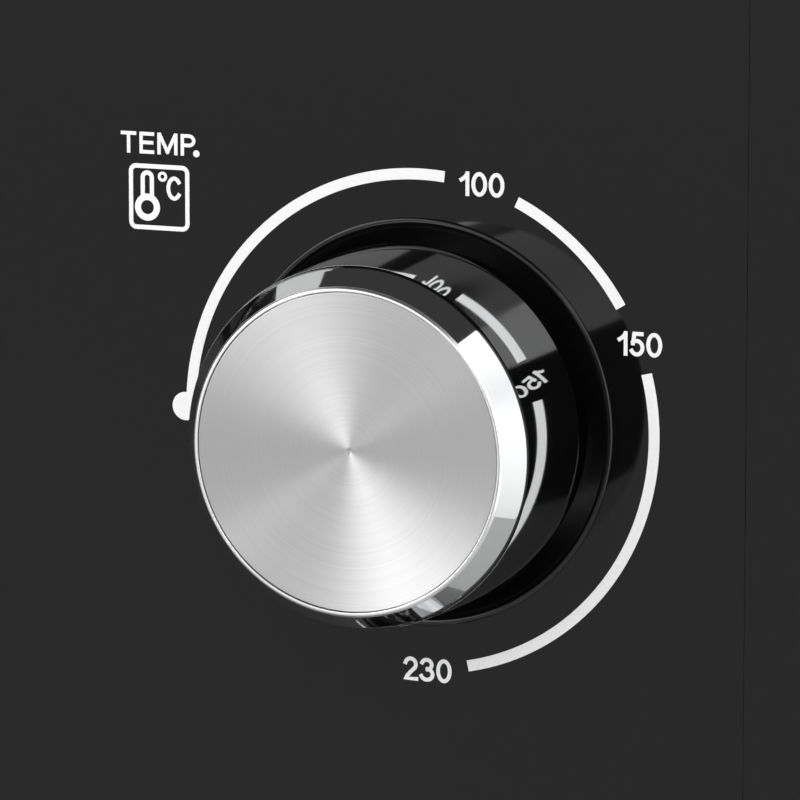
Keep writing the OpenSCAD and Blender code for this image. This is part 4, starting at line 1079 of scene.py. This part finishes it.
class OVEN_OT_door(PieceOperator, Operator):
    """Make the glass door with its frame and handle"""

    bl_idname = "oven.door"
    bl_label = "Door"

    def execute(self, context):
        stem_r, hole_r, border, margin = 0.0055, 0.0022, 0.0003, 0.046
        low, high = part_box("door_glass")
        bar_low, bar_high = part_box("door_handle")
        post_low, post_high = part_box("handle_posts")
        bar = middle_of("door_handle")
        xs = (post_low.x + stem_r, post_high.x - stem_r)
        holes = [circle(x, bar.z, hole_r, 32) for x in xs]

        def outline(inset, corner):
            return rounded_box(low.x + inset, low.z + inset, high.x - inset, high.z - inset, corner, 10)

        pane = plate([outline(0, 0.004), *holes], low.y, high.y - border, 0.0006)
        place(pane, "glass_pane", "door_glass_tint", "door_glass")
        dark = plate([outline(0.0008, 0.0034), outline(margin, 0.006), *holes], high.y - border, high.y)
        place(dark, "glass_border", "glass_border", "door_glass")
        grip_r, grip_l, fillet = 6.98, (bar_high.x - bar_low.x) / MM, 2.2
        grip = softened([(0, 0, 0), (grip_r, 0, fillet), (grip_r, grip_l, fillet), (0, grip_l, 0)], 8)
        grip = turned(grip, [(bar_low.x, bar.y, bar.z)], 64, (1, 0, 0))
        place(grip, "handle_bar", "brushed_stainless", "door_handle")
        r, tip = stem_r / MM, (FACE_Y - bar.y) / MM - 4
        stem = softened([(0, 0, 0), (7.5, 0, 0.3), (7.5, 1.6, 0.5), (r, 2.4, 0.6), (r, tip, 0), (0, tip, 0)])
        stems = turned(stem, [(x, FACE_Y, bar.z) for x in xs], 64)
        place(stems, "handle_stems", "brushed_stainless", "handle_posts")
        skin("door_frame", "door_pan", "powder_coat")
        skin("rack_hooks", "rack_catches", "wire_chrome")
        dress("zinc_steel", "handle_screws")
        return {"FINISHED"}


class OVEN_OT_cabinet(PieceOperator, Operator):
    """Make the cabinet's skin, feet, spacers and screws"""

    bl_idname = "oven.cabinet"
    bl_label = "Cabinet"

    def execute(self, context):
        skin("cabinet_wrapper", "wrapper_skin", "powder_coat")
        skin("front_frame", "front_plate", "powder_coat")
        skin("rear_cover", "rear_plate", "powder_coat")
        skin("feet", "rubber_feet", "foot_rubber")
        skin("rear_spacers", "wall_spacers", "moulded_black")
        skin("cord_gland", "inlet_gland", "moulded_black")
        dress("galvanised_sheet", "base_pan")
        dress("zinc_steel", "foot_screws", "hinge_lugs", "hinge_pins", "door_springs", "switch_screws")
        dress("gasket_silicone", "door_gasket")
        self.rear_screws()
        return {"FINISHED"}

    def rear_screws(self):
        """Pan heads with a cross recess, one copy on each screw place."""
        apart, head_height, slot, web = 0.012, 0.0018, 0.0016, 0.0003
        groups = []
        for vert in frame["nodes"]["rear_screws"].data.vertices:
            spot = vert.co.xz
            near = next((group for group in groups if (group[0] - spot).length < apart), None)
            if near:
                near.append(spot)
            else:
                groups.append([spot])
        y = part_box("rear_screws")[1].y - head_height
        spots = []
        for group in groups:
            xs, zs = zip(*group)
            spots.append(((min(xs) + max(xs)) / 2, y, (min(zs) + max(zs)) / 2))
        head = softened([
            (0, -6, 0), (1.5, -6, 0), (1.5, 0, 0), (3, 0, 0.1), (3, 0.7, 0.5), (1.7, 1.7, 0.6), (0, 1.8, 0),
        ], 4)
        screw = bpy.data.objects.new("screw", turned(head, [(0, 0, 0)], 32, (0, 1, 0)))
        arms = [rounded_box(-x, -z, x, z, 0.00012, 2) for x, z in ((slot, web), (web, slot))]
        cutter = linked("recess", joined(*[plate([arm], 0.0009, 0.0025) for arm in arms]))
        recess = screw.modifiers.new("recess", "BOOLEAN")
        recess.object = cutter
        recess.solver = "EXACT"
        recess.use_self = True
        one = linked("screw_head", smooth(evaluated(screw)))
        bpy.data.objects.remove(cutter)
        heads = copies().grown(spots, Copy=one, Material=finish("zinc_steel"))
        bpy.data.objects.remove(one)
        place(smooth(heads), "rear_pan_heads", None, "rear_screws")


class OVEN_OT_oven_inside(PieceOperator, Operator):
    """Make the rack from its wires and finish the cavity, heaters and trays"""

    bl_idname = "oven.inside"
    bl_label = "Oven inside"

    def execute(self, context):
        dress("aluminised_liner", "oven_cavity", "rack_guides", "fan_housing")
        skin("upper_heaters", "upper_rods", "heater_sheath")
        skin("lower_heaters", "lower_rods", "heater_sheath")
        skin("heater_insulators", "rod_bushes", "heater_ceramic")
        skin("baking_tray", "enamel_tray", "speckled_enamel")
        dress("dark_sheet", "crumb_tray")
        self.rack()
        return {"FINISHED"}

    def rack(self):
        """A frame of round wire with cross wires welded on top."""
        r, fine, pitch, bend, crease = 0.0022, 0.0013, 0.022, 0.006, 40.0
        low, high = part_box("wire_rack")
        left, right, front, back, z = low.x + r, high.x - r, low.y + r, high.y - r, low.z + r
        curve = bpy.data.curves.new("rack_frame", "CURVE")
        curve.dimensions = "3D"
        polyline(curve, [(*p, z) for p in rounded_box(left, front, right, back, bend, 8)], True)
        polyline(curve, [(x, (front + back) / 2, z) for x in (left, right)], False)
        curve.bevel_depth = r
        curve.bevel_resolution = 5
        curve.use_fill_caps = True
        loop = evaluated(bpy.data.objects.new("rack_frame", curve))
        count = int((high.x - low.x - pitch) / pitch)
        first = (low.x + high.x - (count - 1) * pitch) / 2
        bars = wires().grown(
            [], Count=count, First=(first, front, high.z - fine), Step=(pitch, 0, 0),
            Run=(0, back - front, 0), Radius=fine, Material=finish("wire_chrome"),
        )
        place(smooth(joined(loop, bars), crease), "rack_wires", "wire_chrome", "wire_rack")


class OVEN_OT_works(PieceOperator, Operator):
    """Finish the fan, motor and controls inside the cabinet"""

    bl_idname = "oven.works"
    bl_label = "Works"

    def execute(self, context):
        skin("convection_fan", "fan_wheel", "aluminised_liner")
        dress("dark_sheet", "cooling_fan")
        dress("zinc_steel", "fan_shaft", "motor_bracket", "timer_bell")
        dress("galvanised_sheet", "heat_shield")
        dress("core_laminations", "motor_core")
        dress("coil_windings", "motor_coil")
        dress("switch_phenolic", "thermostat_body", "timer_body", "terminal_block")
        dress("moulded_black", "selector_body")
        dress("capillary_copper", "capillary_tube")
        return {"FINISHED"}


class OVEN_OT_studio(PieceOperator, Operator):
    """Set the floor, soft lights, world and camera"""

    bl_idname = "oven.studio"
    bl_label = "Studio"

    DIAL = (0.19, -0.19, 0.26)
    # Place, target, width and height of each light, in metres
    LIGHTS = {
        "key_light": ((-0.86, -0.86, 1.25), DIAL, 0.6, 0.6),
        "fill_light": ((0.2, -6.5, 3.4), (0, -0.1, 0.2), 5.0, 3.6),
        "front_glow": ((0.60, -1.32, 0.73), DIAL, 0.30, 0.25),
        "disc_glow": ((-0.80, -1.53, 0.60), DIAL, 0.9, 0.76),
        "upper_glow": ((0.18, -1.33, 0.83), DIAL, 0.635, 0.15),
        "lower_glow": ((0.18, -1.39, 0.60), DIAL, 0.68, 0.21),
        "top_glow": ((-0.80, 0.22, 1.34), (0.19, -0.19, 0.28), 0.5, 0.56),
        "side_glow": ((0.55, -0.1, 0.37), (0.0, -0.1, 0.37), 0.9, 0.72),
    }

    def execute(self, context):
        context.scene.view_settings.view_transform = "Standard"
        self.floor()
        self.world(context.scene)
        lights = {name: self.soft_light(name, *values) for name, values in self.LIGHTS.items()}
        lights["fill_light"].visible_glossy = False
        for name, light in lights.items():
            if name.endswith("_glow"):
                light.visible_diffuse = False
                light.visible_transmission = False
        lights["top_glow"].data.shape = "ELLIPSE"
        self.fade(lights["side_glow"].data)
        self.flag()
        self.camera(context.scene)
        return {"FINISHED"}

    def soft_light(self, name, spot, target, wide, tall):
        data = bpy.data.lights.new(name, "AREA")
        data.shape = "RECTANGLE"
        data.size, data.size_y = wide, tall
        data.energy = getattr(studio(), name)
        light = linked(name, data)
        light.location = spot
        light.rotation_euler = (Vector(spot) - Vector(target)).to_track_quat("Z", "Y").to_euler()
        light.visible_camera = False
        return light

    def fade(self, light):
        """Dims a light towards its lower edge."""
        bottom, top = 0.3, 1.05
        light.use_nodes = True
        desk = Desk(light.node_tree)
        rise = desk.part(desk.add("NewGeometry").outputs["Parametric"], "Y")
        desk.feed(desk.between(rise, bottom, top), light.node_tree.nodes["Emission"].inputs["Strength"])

    def flag(self):
        """A black card beside the camera, seen in gloss only, which keeps the knobs' sides dark."""
        left, right, y = 0.25, 0.56, -0.75
        mesh = bpy.data.meshes.new("black_flag")
        outline = [(left, y, 0), (right, y, 0), (right, y, 0.486), (left, y, 0.331)]
        mesh.from_pydata(outline, [], [(0, 1, 2, 3)])
        mesh.materials.append(finish("flag_cloth"))
        flag = linked("black_flag", mesh)
        flag.visible_camera = flag.visible_diffuse = flag.visible_transmission = flag.visible_shadow = False

    def floor(self):
        bm = bmesh.new()
        bmesh.ops.create_circle(bm, cap_ends=True, segments=96, radius=9.0)
        mesh = flushed(bm, "studio_floor")
        mesh.materials.append(finish("floor_paper"))
        linked("studio_floor", mesh)

    def world(self, scene):
        """Grey levels by height: what gloss sees, what lights the rest, and the backdrop."""
        scene.world = bpy.data.worlds.new("studio_world")
        scene.world.use_nodes = True
        desk = Desk(scene.world.node_tree)
        rise = desk.part(desk.add("TexCoord").outputs["Generated"], "Z")
        shine = desk.between(rise, 0.8, 0.05, 0.0, 0.4)
        spread = desk.between(rise, 1.0, 0.7, 0.0, 0.8)
        backdrop = desk.between(rise, 0.5, 0.8, 0.0, 0.5)
        path = desk.add("LightPath").outputs
        lit = desk.choice(path["Is Glossy Ray"], spread, shine)
        back = desk.tree.nodes["Background"].inputs
        back["Color"].default_value = (1, 1, 1, 1)
        desk.feed(desk.choice(path["Is Camera Ray"], lit, backdrop), back["Strength"])

    def camera(self, scene):
        values = studio()
        data = bpy.data.cameras.new("dial_camera")
        data.lens = values.focal_length
        data.sensor_width = 36.0
        data.clip_start, data.clip_end = 0.01, 100.0
        a, e = values.azimuth, values.elevation
        back = Vector((math.sin(a) * math.cos(e), -math.cos(a) * math.cos(e), math.sin(e)))
        aim = dial_centre("temperature") + Vector((values.aim_x, 0, values.aim_z))
        camera = linked("dial_camera", data)
        camera.location = aim + back * values.distance
        camera.rotation_euler = back.to_track_quat("Z", "Y").to_euler()
        scene.camera = camera


class OVEN_PT_sidebar(Panel):
    """Lists the oven's pieces and values"""

    bl_label = "Oven"
    bl_idname = "OVEN_PT_sidebar"
    bl_space_type = "VIEW_3D"
    bl_region_type = "UI"
    bl_category = "Oven"

    def draw(self, context):
        layout = self.layout
        for operator in OPERATORS:
            layout.operator(operator.bl_idname)
        for group in (knobs(), ink(), paint(), studio()):
            box = layout.box()
            for key in group.__annotations__:
                box.prop(group, key)


GROUP_CLASSES = {
    "oven_knobs": OvenKnobs,
    "oven_print": OvenPrint,
    "oven_finishes": OvenFinishes,
    "oven_studio": OvenStudio,
}
OPERATORS = (
    OVEN_OT_studio,
    OVEN_OT_control_panel,
    OVEN_OT_bezels,
    OVEN_OT_knobs,
    OVEN_OT_dial_print,
    OVEN_OT_door,
    OVEN_OT_cabinet,
    OVEN_OT_oven_inside,
    OVEN_OT_works,
)


def register():
    for cls in (*GROUP_CLASSES.values(), *OPERATORS, OVEN_PT_sidebar):
        bpy.utils.register_class(cls)
    for name, cls in GROUP_CLASSES.items():
        setattr(bpy.types.Scene, name, PointerProperty(type=cls))


def unregister():
    for name in GROUP_CLASSES:
        delattr(bpy.types.Scene, name)
    for cls in reversed((*GROUP_CLASSES.values(), *OPERATORS, OVEN_PT_sidebar)):
        bpy.utils.unregister_class(cls)


def main():
    register()
    bpy.ops.oven.studio()
    bpy.ops.oven.control_panel()
    bpy.ops.oven.bezels()
    bpy.ops.oven.knobs()
    bpy.ops.oven.dial_print()
    bpy.ops.oven.door()
    bpy.ops.oven.cabinet()
    bpy.ops.oven.inside()
    bpy.ops.oven.works()


if __name__ == "__main__":
    main()
